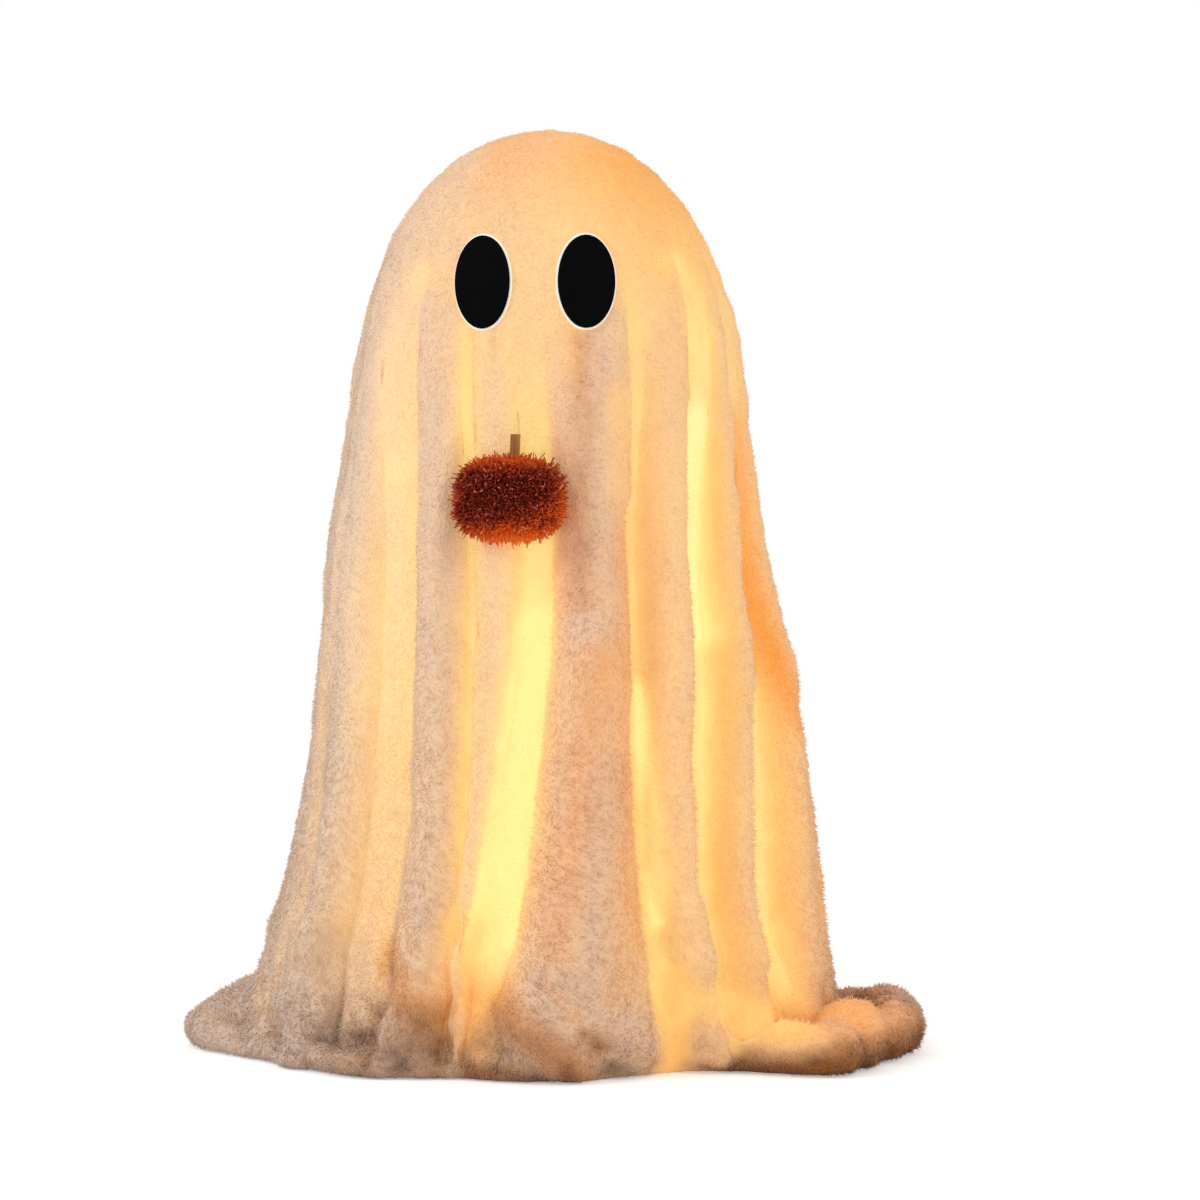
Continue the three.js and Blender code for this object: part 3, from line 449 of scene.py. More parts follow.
# Radius of the cloth: the valley's to the crest's by the column's wave, softer where the fold is shallow.
# The valley is the plain wall less the fold's depth, but stays outside the uprights.
def wallRadius(angles, middle, heights):
    heights = heights[:, None]
    leanShare = np.clip((cloth["leanTop"] - heights) / (cloth["leanTop"] - cloth["flare"]), 0, 1)
    plain = middle[:, None] + cloth["lean"] * np.sin(np.pi * leanShare) * np.sin(np.radians(angles))
    begun = eased((ofFold("start") - heights) / cloth["ridgeGrow"])
    begun = begun * eased((heights - cloth["ridgeFoot"]) / cloth["ridgeFade"])
    crest = plain + cloth["headRidge"] * begun
    low, high = cloth["uprightSpan"]
    upright = blended(cloth["uprightFoot"], cloth["uprightHead"], (heights - low) / (high - low))
    least = np.where(heights < cloth["shoulder"], upright + cloth["clearance"], 0)
    below = np.minimum(ofFold("start"), cloth["shellFoot"]) - heights
    valley = np.maximum(plain - ofFold("depth") * eased(below / cloth["foldFade"]), least)
    valley = np.minimum(plain, valley)
    drop = crest - valley
    mean = (drop + besideCrest(drop)) / 2
    softer = 1 + cloth["softStart"] * (1 - eased(drop / cloth["softDrop"]))
    return blended(valley, crest - (1 - ofCrest("rise")) * mean, crestWave**softer)


# A curve through control points, the Catmull-Rom cubic, at even steps; points[k, column, 2]
def curveThrough(points, count):
    ends = np.concatenate([points[:1], points, points[-1:]])
    at = np.linspace(0, len(points) - 1, count)
    left = np.minimum(at.astype(int), len(points) - 2)
    t = (at - left)[:, None, None]
    a, b, c, d = (ends[left + k] for k in range(4))
    return b + 0.5 * t * (c - a + t * (2 * a - 5 * b + 4 * c - d + t * (3 * (b - c) + d - a)))


# Control points [k, column, 2] from pairs of a radius per column and a height
def controls(*pairs):
    return np.stack([np.stack(np.broadcast_arrays(*pair), -1) for pair in pairs])


# The hem: down from the wall over a crease and round a roll that lies on the floor, or down a plain ramp.
# Where there is no room for a roll it falls straight and turns in under itself.
def hemPlaces(angles, wall):
    spots = around(angles, hemAt(1, angles), 0)
    reach = hemAt(1, angles) + cloth["hemWave"] * (crestWave - 0.5) * ofCrest("rise")
    reach = reach + 4 * (lumps(spots, 26, 31) - 0.5)
    roll = hemAt(2, angles) * (0.86 + 0.3 * lumps(spots, 17, 32))
    gap = reach - 2 * roll - wall
    flare = cloth["flare"]
    falling = controls(
        (wall, flare), (wall + 0.12 * np.minimum(gap, 0) + 0.6, 44), (blended(wall, reach, 0.3) + 1, 31),
        (blended(wall, reach, 0.45) + 2, 22), (blended(wall, reach, 0.6) + 2.5, 14.5),
        (blended(wall, reach, 0.75) + 2.5, 9), (reach + 1, 4.5), (reach - 1.5, 1), (reach - 6, 0.1),
        (reach - 13, 0.6),
    )
    room = np.maximum(gap, 3)
    rolled = controls(
        (wall, flare), (wall + 0.06 * room, 41), (wall + 0.22 * room, 25), (wall + 0.5 * room, 0.85 * roll),
        (wall + 0.84 * room, 1.15 * roll), (reach - 1.62 * roll, 1.78 * roll),
        (reach - 0.9 * roll, 2.02 * roll), (reach - 0.2 * roll, 1.62 * roll), (reach, 0.9 * roll),
        (reach - 0.34 * roll, 0.24 * roll), (reach - 1.1 * roll, 0.05), (reach - 2 * roll, 0.6),
    )
    shares = ((0, 1), (0.1, 0.79), (0.25, 0.67), (0.43, 0.57), (0.62, 0.48), (0.79, 0.395), (0.92, 0.3),
              (0.985, 0.22), (1, 0.15))  # of the way out and of the flare's height
    width = np.maximum(reach - wall, 4)
    ramp = controls(
        *[(wall + share * width, level * flare) for share, level in shares],
        (reach - 0.1 * roll, 0.4 * roll), (reach - 0.7 * roll, 0.06 * roll), (reach - 1.8 * roll, 0.6),
    )
    lying = blended(rolled, ramp, hemAt(3, angles)[:, None])
    falling, lying = (curveThrough(rows, cloth["hemRows"]) for rows in (falling, lying))
    both = blended(falling, lying, eased((gap + 6) / 22)[:, None])
    return both[1:, :, 0], np.maximum(both[1:, :, 1], 0)


# The way out at each place: square to the line between its neighbours at the sides and to that between its
# neighbours above and below
def rowNormals(grid):
    east = np.roll(grid, -1, axis=1) - np.roll(grid, 1, axis=1)
    down = np.empty_like(grid)
    down[1:-1] = grid[2:] - grid[:-2]
    down[0], down[-1] = grid[1] - grid[0], grid[-1] - grid[-2]
    way = np.cross(down, east)
    return way / np.maximum(np.linalg.norm(way, axis=-1, keepdims=True), 1e-9)


eyeAngles = {"right_eye": -20.5, "left_eye": 11.7}
eye = {
    "height": 411,
    "radius": 98.0,
    "half": (15.0, 25.0),
    "border": 1.1,
    "seat": 0.4,  # of the backing over the cloth
    "backing": 0.8,
    "lift": 0.1,  # of the felt over its backing
    "felt": 1.6,
    "rings": 14,
    "spokes": 72,
}


# How far places are from the nearest eye's middle, where 1 is the rim of its backing, as seen from the front
def eyeShare(places):
    nearest = np.full(places.shape[:-1], 9.0)
    for angle in eyeAngles.values():
        middle = eye["radius"] * math.sin(math.radians(angle))
        wide = (eye["half"][0] + eye["border"]) * math.cos(math.radians(angle))
        tall = eye["half"][1] + eye["border"]
        aside, above = (places[..., 0] - middle) / wide, (places[..., 2] - eye["height"]) / tall
        away = np.where(places[..., 1] < 0, np.hypot(aside, above), 9)
        nearest = np.minimum(nearest, away)
    return nearest


# Lines on the cloth, each from one (angle, height) to another, with its half width. These are ridges and
# dents that aren't folds, and how far they push.
dentKeys = ("from", "to", "wide", "push")
dentRows = [
    ((-92, 155), (-90, 90), 20, -5),
    ((-55, 74), (-60, 34), 8, 9),  # fingers of cloth at the left
    ((-70, 50), (-72, 30), 8, 9),
    ((-64, 16), (-61, 9), 4.5, -8),
    ((-45, 17), (-35, 19), 5, -7),
    ((-10, 42), (7, 9), 12, 10),  # a flap rolled over the front of the hem
    ((-12, 10), (-4, 6), 8, 4),
    ((-17.5, 80), (-20, 8), 5.5, -3.5),
    ((0, 48), (11, 20), 5, -3),
    ((19, 420), (21, 300), 7, 3),  # a soft ridge right of the middle one
    ((-27, 330), (-29, 270), 6, 4),  # pinched beside the ornament
    ((57, 46), (62, 26), 10, 10),  # feet of the right ridges
    ((84, 52), (85, 40), 9, 15),
    ((76, 24), (83, 27), 3.5, -4),
]
dents = [dict(zip(dentKeys, row)) for row in dentRows]
# Lumps: how high they stand, their size and their seed
lumpSizes = {"soft": (2.6, 26, 1), "middle": (2.4, 8.5, 2), "fine": (1.3, 4.2, 3), "rough": (6.5, 15, 4)}
napStretch = (1, 1, 0.6)
relief = {
    "softFrom": 470,  # the height under which the soft lumps begin, and over which drop they grow
    "softGrow": 120,
    "roughFrom": 96,
    "roughGrow": 60,
    "flatUnder": 6,
    "eyeFrom": 0.8,  # shares of the eye's rim: none here, and all of it this much further out
    "eyeGrow": 0.6,
    "floor": 0.05,
}


# How near places are to a line: a bell over the distance from it, measured along the cloth
def nearLine(line, angles, heights, radius):
    (angleFrom, heightFrom), (angleTo, heightTo) = line["from"], line["to"]
    aside = np.radians(angleGap(angles, angleFrom)) * radius
    above = heights - heightFrom
    runAside = math.radians(angleTo - angleFrom) * cloth["meanRadius"]
    runAbove = heightTo - heightFrom
    along = np.clip((aside * runAside + above * runAbove) / (runAside**2 + runAbove**2), 0, 1)
    away = (aside - along * runAside) ** 2 + (above - along * runAbove) ** 2
    return np.exp(-away / line["wide"] ** 2)


# The outer layer without its relief: angles, radii, heights and points, from the crown down to the hem's edge
def clothSurface():
    dome = np.linspace(0, 1, cloth["domeRows"] + 1)[1:]
    body = 1 + np.linspace(0, 1, cloth["bodyRows"] + 1)[1:]
    middle, heights = wallPlaces(np.concatenate([dome, body]))
    angles = columnAngles(heights)
    radius = wallRadius(angles, middle, heights)
    lowRadius, lowHeight = hemPlaces(angles[-1], radius[-1])
    high = np.concatenate([np.repeat(heights[:, None], angles.shape[1], 1), lowHeight])
    angles = np.concatenate([angles, columnAngles(np.linspace(cloth["flare"], 0, len(lowRadius)))])
    radius = np.concatenate([radius, lowRadius])
    return angles, radius, high, around(angles, radius, high)


# Relief: the lines' pushes and four sizes of lumps, the soft ones below the crown and the rough ones near the
# floor, all of it flatter under the hem and gone under the eyes
def withRelief(angles, radius, heights, grid):
    def lumpy(kind, points, share):
        high, size, seed = lumpSizes[kind]
        return high * share * (lumps(points, size, seed) - 0.5)

    push = sum(dent["push"] * nearLine(dent, angles, heights, radius) for dent in dents)
    soft = lumpy("soft", grid, eased((relief["softFrom"] - heights) / relief["softGrow"]))
    middle = lumpy("middle", grid * napStretch, 0.6 + 0.4 * crestWave)
    fine = lumpy("fine", grid, 1)
    rough = lumpy("rough", grid, eased((relief["roughFrom"] - heights) / relief["roughGrow"]))
    total = push + (soft + middle + fine + rough) * (0.25 + 0.75 * eased(heights / relief["flatUnder"]))
    total = total * eased((eyeShare(grid) - relief["eyeFrom"]) / relief["eyeGrow"])
    moved = grid + rowNormals(grid) * total[..., None]
    moved[..., 2] = np.maximum(moved[..., 2], relief["floor"])
    return moved


outsideAngles, outsideRadius, outsideHeights, outsideFlat = clothSurface()
outside = withRelief(outsideAngles, outsideRadius, outsideHeights, outsideFlat)
onCloth = (outsideAngles, outsideHeights, outsideRadius)
print("cloth worked out:", outside.shape)

# Streaks where more or less light shows through: lines that add to the glow, the amber and the shade
streakKeys = ("from", "to", "wide", "glow", "amber", "shade")
streakRows = [
    ((-25, 385), (-24, 310), 6, 0.15, 0.05, 0),
    ((-4, 230), (-13.5, 80), 9, 0.3, 0, 0),
    ((24, 200), (25, 80), 3.5, 0.32, -0.1, -0.15),
    ((26.5, 52), (30, 6), 7, 0.5, 0.4, -0.6),
    ((31, 38), (50, 32), 11, 0.45, 0.2, -0.5),
    ((18, 270), (14, 50), 12, 0.08, 0.14, -0.05),
    ((44, 330), (43, 240), 9, 0.1, -0.1, 0),
    ((74, 340), (75, 180), 9, -0.06, 0.5, 0.12),
    ((53, 62), (60, 38), 14, 0.5, 0.2, -0.6),
    ((-33, 58), (-24, 34), 16, 0.04, 0.75, 0.55),
    ((9.5, 380), (8, 245), 9, -0.08, 0.28, 0.28),
    ((11.5, 215), (0, 65), 11, 0.02, 0.36, 0.2),
    ((19, 350), (18.5, 300), 7, 0.25, 0, -0.15),
    ((70, 330), (68, 220), 7, 0, 0.85, 0.25),
    ((49, 340), (46, 230), 8, 0.3, -0.3, 0),
    ((-9, 40), (6, 10), 11, 0.02, 0.6, 0.36),
    ((-16, 4), (6, 3), 6, 0, 0.1, 0.6),
    ((0, 50), (12, 18), 4, 0, 0.3, 0),
    ((52, 6), (100, 8), 16, 0, 0.5, -0.05),
    ((46, 1), (104, 2), 7, 0, 0.4, 0.6),
    ((42, 16), (50, 26), 9, 0.4, 0, -0.4),
    ((45, 27), (98, 28), 9, 0.05, 0.15, -0.5),
    ((-74, 30), (-84, 22), 9, 0, 0.5, 0.1),
    ((-80, 430), (-78, 250), 15, 0, -0.2, 0.4),
    ((-62, 240), (-68, 70), 20, 0.06, 0, -0.18),
    ((-62, 48), (-97, 18), 17, 0.05, 0.05, -0.2),
    ((-17, 72), (-17, 20), 12, 0.12, 0.3, -0.35),
]
streaks = [dict(zip(streakKeys, row)) for row in streakRows]
lights = [f"light_{number:02d}" for number in range(1, 12)]
glowParts = {"hotReach": 11, "hot": 0.75, "headRight": 0.62, "headLeft": 0.24}


# Values on the cloth with what each streak adds to them
def withStreaks(values, key):
    for streak in streaks:
        values = values + streak[key] * nearLine(streak, *onCloth)
    return values


# How far to the side a place is, -1 at the left to 1 at the right, and 0 over the middle of the head
def sideShare(angles, radius):
    return np.sin(np.radians(angles)) * eased(radius / cloth["crown"])


# Glow, 0 to 1: each valley's own, fading to the crests, an even glow in the head, and more near each light
def clothGlow(angles, heights, radius):
    held = np.clip(heights.mean(axis=1), levels[0], levels[-1])
    valley = smoothThrough(levels, np.array([fold["glow"] for fold in folds]).T, held)[:, columnFold]
    fades = ofFold("fade")
    fade = np.where(leaving, fades[:, 0], fades[:, 1])
    wall = blended(ofCrest("lit"), valley, (1 - np.clip(crestWave, 0, 1)) ** fade)
    side = eased(0.5 + 0.62 * sideShare(angles, radius))
    head = blended(glowParts["headLeft"], glowParts["headRight"], side)
    values = blended(wall, head, eased((heights - ofFold("start") + 60) / 75))
    under = eased((radius - 151) / 10) * eased((56 - heights) / 14)
    values = withStreaks(values * (0.25 + 0.75 * eased(heights / 75)) * (1 - 0.85 * under), "glow")
    for node in lights:
        away = np.linalg.norm(outside - boxOf(node)[2], axis=-1)
        values = values + glowParts["hot"] * np.exp(-((away / glowParts["hotReach"]) ** 2))
    return np.clip(values, 0, 1)


# Amber, -1 to 1: the painted warmth of the light through the cloth, more orange at the right, in the head and
# half way up the folds' sides, and greyer, painted as less lit, at the left and on the crests
def clothAmber(angles, heights, radius):
    side = sideShare(angles, radius)
    values = 0.1 * eased((side - 0.35) / 0.5) - 0.75 * eased((-side - 0.45) / 0.55)
    values = values + 0.3 * eased((heights - 380) / 80) * eased((side + 0.1) / 0.8)
    values = values + 0.3 * eased((heights - 430) / 60)
    # Painted coolness on the crests and painted warmth half way up the folds' sides
    cool = 0.38 * crestWave * eased((0.3 - side) / 0.5)
    warm = 0.2 * 4 * crestWave * (1 - crestWave) * eased((heights - 30) / 60)
    warm = warm * (0.5 + 0.5 * eased((side + 0.6) / 0.8))
    values = values + eased((400 - heights) / 80) * (warm - cool)
    return np.clip(withStreaks(values, "amber"), -1, 1)


# Each place moved to the middle of its four neighbours, so many times
def smoothed(grid, times):
    for _ in range(times):
        beside = np.roll(grid, 1, axis=1) + np.roll(grid, -1, axis=1)
        above = np.concatenate([grid[:1], grid[:-1]])
        below = np.concatenate([grid[1:], grid[-1:]])
        grid = (beside + above + below) / 4
    return grid


# Painted shade, -1 to 1: darker where the cloth lies lower than it does round about, near the floor, in the
# dips of the lumps and lighter on their tops, and in a rim beside each crest on the side away from the front
def clothShade(angles, heights):
    low = outside[..., 2]
    # Painted shade in the hollows, less where the glow comes through
    hollow = ((smoothed(outside, 10) - outside) * rowNormals(outside)).sum(-1) / 2.6
    hollow = np.clip(hollow, -0.15, 0.42) * (0.1 + 0.62 * eased((62 - low) / 40)) * (1 - 0.8 * glow)
    # Painted shade near the floor, from the hem's table
    shadeBrown = hemAt(4, angleGap(angles, 71.5) + 71.5)  # turned into the table's own span
    # Painted light and shade from the relief: lighter on the lumps' tops, darker in their dips
    _, size, seed = lumpSizes["middle"]
    grain = 0.8 * lumps(outsideFlat * napStretch, size, seed)
    _, size, seed = lumpSizes["fine"]
    grain = grain + 0.5 * lumps(outsideFlat, size, seed) - 0.65
    values = hollow + shadeBrown * eased((52 - low) / 44) - 0.4 * grain * (0.35 + 0.65 * crestWave)
    # Painted shade in a rim on each crest's side away from the front
    away = np.where(leaving, 1, -1) * np.sin(np.radians(angles))
    rim = np.exp(-(((crestWave - 0.34) / 0.2) ** 2)) * eased(away / 0.3) * eased((430 - heights) / 60)
    return np.clip(withStreaks(values + 0.3 * rim, "shade"), -1, 1)


glow = clothGlow(*onCloth)
amber = clothAmber(*onCloth)
shade = clothShade(outsideAngles, outsideHeights)
print("glow worked out")

# Tones of the cloth: ridge is its own cream; peach, gold and pale carry the painted light from inside; amber
# and grey the painted warmth and greyness of that light; the three darker tones after them are painted shade;
# tip is the paler pile; the light tones are the painted glow
plushTones = {
    "ridge": tone(243, 207, 180),
    "peach": tone(234, 192, 148),
    "gold": tone(212, 178, 124),
    "pale": tone(190, 166, 112),
    "amber": tone(214, 134, 50),
    "grey": tone(220, 194, 176),
    "shadeBrown": tone(166, 114, 72),
    "shadeGrey": tone(182, 156, 142),
    "shadeOrange": tone(156, 94, 34),
    "tip": tone(255, 238, 218),
    "lightPeach": tone(140, 116, 74),
    "lightGold": tone(184, 158, 94),
    "lightPale": tone(220, 204, 130),
    "lightAmber": tone(176, 106, 20),
}
plushStops = (0.0, 0.38, 0.68, 1.0)


# Plush: cream where the folds stand proud, with the light from inside painted into its colour and glow in the
# valleys, mottled by the lie of the pile
def makePlush(name, onPile):
    finish = Finish(name)
    # The cloth's painted glow, the painted warmth of its light and its painted shade
    light, orange, crease = (finish.attribute(key) for key in ("glow", "amber", "shade"))
    mottle = finish.noise(110, 4, (1, 1, 0.5))
    patches = finish.noise(28, 3, (1, 1, 0.6))
    spread = light + (mottle - 0.5) * 0.28 + (patches - 0.5) * 0.22
    tones = plushTones
    bases = [tones[key] for key in ("ridge", "peach", "gold", "pale")]
    base = finish.ramp(spread, *zip(plushStops, bases))
    base = finish.mixed(finish.between(orange, 0, 1), base, tones["amber"])
    base = finish.mixed(finish.between(orange, 0, -1), base, tones["grey"])
    # Painted shade tone: more orange where the light is painted warm, greyer where it is painted cool
    deep = finish.mixed(finish.between(orange, 0, 0.5), tones["shadeBrown"], tones["shadeOrange"])
    deep = finish.mixed(finish.between(orange, 0, -0.8), deep, tones["shadeGrey"])
    base = finish.mixed(finish.between(crease, 0.1, 1.1), base, deep)
    # Painted glow, dimmed to none where the painted shade is deep
    lit = [grey(0), *(tones[key] for key in ("lightPeach", "lightGold", "lightPale"))]
    given = finish.ramp(spread, *zip(plushStops, lit))
    given = finish.mixed(finish.between(orange, 0, 1) * 0.9, given, tones["lightAmber"])
    given = finish.mixed(finish.between(crease, 0.2, 0.9), given, grey(0))
    if onPile:
        paler = finish.attribute("tint") * (0.4 - finish.between(orange, 0, 1) * 0.35)
        base = finish.mixed(paler, base, tones["tip"])
        normal = {}
    else:
        normal = {"Normal": finish.bump(finish.noise(900, 3, (1, 1, 0.45)), 0.0012)}
    return finish.surface(
        Base_Color=base, Roughness=0.95, Emission_Color=given, Emission_Strength=1.0,
        Sheen_Weight=0.25, Sheen_Roughness=0.4, Specular_IOR_Level=0.1, **normal,
    )


# The inner layer: rows of the outer one moved inwards by the cloth's thickness, run up from the hem
def insideRows():
    wallCount = cloth["domeRows"] + cloth["bodyRows"]
    flat = outsideFlat[:wallCount]
    picked = np.linspace(wallCount - 1, 0, cloth["insideRows"]).astype(int)
    inner = flat[picked] - cloth["thickness"] * rowNormals(flat)[picked]
    foot = inner[0].copy()
    foot[:, 2] = 3
    long = np.linalg.norm(foot[:, :2], axis=1)
    held = np.minimum(long, np.linalg.norm(outside[-1, :, :2], axis=1) - cloth["thickness"])
    foot[:, :2] *= (held / long)[:, None]
    return np.concatenate([[foot, (foot + inner[0]) / 2], inner])


# The cover, with the attributes that its material reads: those of the outer layer, one value for the inner
# layer, and one for each closing point
def makeCover():
    inner = insideRows()
    top, under = (0, 0, cloth["height"]), (0, 0, cloth["height"] - cloth["thickness"])
    grid = np.concatenate([outside, inner])
    piece = closedMesh("plush_cover_soft", grid, top, under, makePlush("plush", False), "cover")
    for key, values, within, ends in (
        ("glow", glow, 0.62, (0.45, 0.5)), ("amber", amber, 0.1, (0, 0)), ("shade", shade, 0, (0, 0)),
    ):
        addAttribute(piece, key, np.concatenate([values.ravel(), np.full(inner[..., 0].size, within), ends]))
    standsFor(piece, "plush", "plush_cover")
    return piece


cover = makeCover()
print("cover made")

# Pile: short spikes that lean with the nap
pile = {
    "pieces": 6,
    "each": 46000,
    "length": (2.0, 3.8),
    "short": 0.48,  # the share of that length on the head, and the heights between which it grows to 1
    "shortFrom": 330,
    "shortTo": 110,
    "width": 0.28,
    "widths": (0.75, 1.3),
    "sunk": 0.25,
    "lean": 1.1,
    "droop": (0, 0, -0.55),
    "swirl": (2.2, 26, 40),  # how much the lean follows lumps, their size and their seed
    "clump": (1.5, 3.4, 50),
    "loose": 0.28,
    "underRows": 8,
    "seed": 11,
}


# Spots on the cloth from one angle to another, drawn by area, with their normals and what they take from it
def drawSpots(dice, count, low, high):
    rows, columns = outside.shape[:2]
    faces = gridFaces(rows, columns)
    points = outside.reshape(-1, 3)
    spotAngles = outsideAngles.reshape(-1)[faces[:, 0]] % 360
    a, b, c, d = (points[faces[:, k]] for k in range(4))
    area = np.linalg.norm(np.cross(c - a, d - b), axis=1) / 2
    lying = (a[:, 2] < 0.6) | (np.arange(len(faces)) // columns >= rows - pile["underRows"])
    area = np.where(lying | (spotAngles < low) | (spotAngles >= high), 0, area)
    face = dice.choice(len(faces), count, p=area / area.sum())
    u, v = dice.random(count), dice.random(count)
    weights = np.stack([(1 - u) * (1 - v), u * (1 - v), u * v, (1 - u) * v], -1)
    corners = faces[face]
    sources = {"place": outside, "way": rowNormals(outside), "glow": glow, "amber": amber, "shade": shade}
    spots = {
        key: (weights[..., None] * values.reshape(rows * columns, -1)[corners]).sum(1)
        for key, values in sources.items()
    }
    spots["row"] = (corners[:, 0] // columns + u) / rows
    spots["angle"] = spotAngles[face]
    keep = eyeShare(spots["place"]) > 1
    return {key: values[keep] for key, values in spots.items()}


# The ways out to the three corners of each strand's section, a third of a turn apart and square to the strand
def cornerWays(along, turn):
    along = unit(along)
    side = unit(np.cross(along, (0.31, 0.23, 0.92)))
    at = turn[:, None] + turns(3)
    return side[:, None] * np.cos(at)[..., None] + np.cross(along, side)[:, None] * np.sin(at)[..., None]


# The same faces for every strand of so many points
def strandFaces(count, points, orders):
    return (np.arange(count)[:, None, None] * points + np.array(orders)).reshape(-1, len(orders[0]))


# Spikes: three corners round the foot and a tip, closed underneath
def spikeMesh(name, foot, tip, width, turn, material, body):
    base = foot[:, None] + cornerWays(tip - foot, turn) * width[:, None, None]
    points = np.concatenate([base, tip[:, None]], 1)
    faces = strandFaces(len(foot), 4, [(0, 1, 3), (1, 2, 3), (2, 0, 3), (2, 1, 0)])
    return makeMesh(name, points.reshape(-1, 3), [faces], material, body)


# Strands: a three-cornered section carried along three places, closed at both ends
def strandMesh(name, spine, width, turn, material, body):
    out = cornerWays(spine[:, 2] - spine[:, 0], turn)
    points = spine[:, :, None] + out[:, None] * width[:, None, None, None]
    sides = np.array([(0, 1, 4, 3), (1, 2, 5, 4), (2, 0, 3, 5)])
    walls = strandFaces(len(spine), 9, np.concatenate([sides, sides + 3]))
    ends = strandFaces(len(spine), 9, [(2, 1, 0), (6, 7, 8)])
    return makeMesh(name, points.reshape(-1, 3), [walls, ends], material, body)


# A way drawn from lumps, -0.5 to 0.5 along each axis
def lumpWays(place, size, seed):
    return np.stack([lumps(place, size, seed + axis) - 0.5 for axis in range(3)], -1)


# Each spike leans from the cloth's normal: down, with the lumps, and a little by chance
def makePile():
    material = makePlush("plush_pile", True)
    made = []
    for number in range(pile["pieces"]):
        low, high = 360 * number / pile["pieces"], 360 * (number + 1) / pile["pieces"]
        dice = np.random.default_rng(pile["seed"] + number)
        spots = drawSpots(dice, pile["each"], low, high)
        place, way = spots["place"], unit(spots["way"])
        count = len(place)
        (swirl, *swirlKind), (clump, *clumpKind) = pile["swirl"], pile["clump"]
        loose = dice.normal(0, pile["loose"], (count, 3))
        lean = pile["droop"] + swirl * lumpWays(place, *swirlKind)
        lean = lean + clump * lumpWays(place, *clumpKind) + loose
        lean -= way * (lean * way).sum(1, keepdims=True)
        along = unit(way + pile["lean"] * lean)
        full = eased((pile["shortFrom"] - place[:, 2:]) / (pile["shortFrom"] - pile["shortTo"]))
        long = dice.uniform(*pile["length"], count)[:, None] * blended(pile["short"], 1, full)
        foot = place - pile["sunk"] * way
        tip = foot + along * long
        tip[:, 2] = np.maximum(tip[:, 2], 0.02)
        width = pile["width"] * dice.uniform(*pile["widths"], count)
        turn = dice.uniform(0, 2 * np.pi, count)
        piece = spikeMesh(f"pile_{number + 1}", foot, tip, width, turn, material, "cover")
        spots["tint"] = dice.random(count)
        for key in ("glow", "amber", "shade", "tint"):
            addAttribute(piece, key, np.repeat(spots[key], 4))
        across = (spots["angle"] - low) / (high - low)
        addMap(piece, np.stack([across, spots["row"]], -1), [(0, 0), (1, 0), (0.5, 1), (0.5, 0.4)])
        made.append(piece)
    return made


pileParts = makePile()
print("pile made:", sum(len(part.data.polygons) for part in pileParts), "faces")

reachStep = 0.5


# Radius of the plain cloth in a table of its wall's rows and even angles
def makeReach():
    rows = cloth["domeRows"] + cloth["bodyRows"]
    even = np.arange(0, 360 + reachStep, reachStep)
    table = []
    for angles, radius in zip(outsideAngles[:rows] % 360, outsideRadius[:rows]):
        order = np.argsort(angles)
        turned = np.concatenate([angles[order] - 360, angles[order], angles[order] + 360])
        table.append(np.interp(even, turned, np.tile(radius[order], 3)))
    return outsideFlat[:rows, 0, 2], np.array(table)


reachHeights, reachTable = makeReach()


# The radius at any angle and height: a straight share between the table's nearest rows and columns
def clothReach(angle, height):
    row = np.interp(height, reachHeights[::-1], np.arange(len(reachHeights))[::-1])
    column = (angle % 360) / reachStep
    low, left = np.minimum(row.astype(int), len(reachHeights) - 2), column.astype(int)
    right = np.minimum(left + 1, reachTable.shape[1] - 1)
    upper, lower = (blended(reachTable[k, left], reachTable[k, right], column - left) for k in (low, low + 1))
    return blended(upper, lower, row - low)


# How far places are outside the plain cloth, along their own angle
def clearOfCloth(places):
    angle = np.degrees(np.arctan2(places[..., 0], -places[..., 1]))
    return np.linalg.norm(places[..., :2], axis=-1) - clothReach(angle, places[..., 2])


# Places nearer to the cloth than a gap are moved out to it
def offCloth(places, gap):
    short = np.maximum(gap - clearOfCloth(places), 0)
    moved = places.copy()
    moved[..., :2] += unit(places[..., :2]) * short[..., None]
    return moved


feltRim = [(0.992, 0.9), (1.0, 0.6), (1.0, 0.2), (0.985, 0.0)]  # shares of the way out and of the thickness


# Felt oval on the cloth: rings from the middle out, flat on top with a rounded rim, and rings underneath
def feltOval(name, angle, half, lift, thick, material):
    rings = np.linspace(0, 1, eye["rings"])[1:]
    profile = [(ring, 1.0) for ring in rings * 0.97] + feltRim + [(ring, 0.0) for ring in rings[::-1] * 0.9]
    ring, level = np.array(profile).T[..., None]
    spoke = turns(eye["spokes"])[None]
    aside = half[0] * ring * np.cos(spoke)
    height = eye["height"] + half[1] * ring * np.sin(spoke)
    middle = clothReach(np.array([float(angle)]), np.array([float(eye["height"])]))[0]
    turn = math.radians(angle)
    right = middle * math.sin(turn) + aside * math.cos(turn)
    radius = np.full(aside.shape, middle)
    for _ in range(4):  # upright as seen from the front, so the angle depends on the radius there
        at = np.degrees(np.arcsin(right / radius))
        radius = clothReach(at, height)
    grid = around(at, radius + lift + thick * level, height)
    ends = (around(angle, middle + lift + rise, eye["height"]) for rise in (thick, 0))
    return closedMesh(name, grid[:, ::-1], *ends, material, "cover")


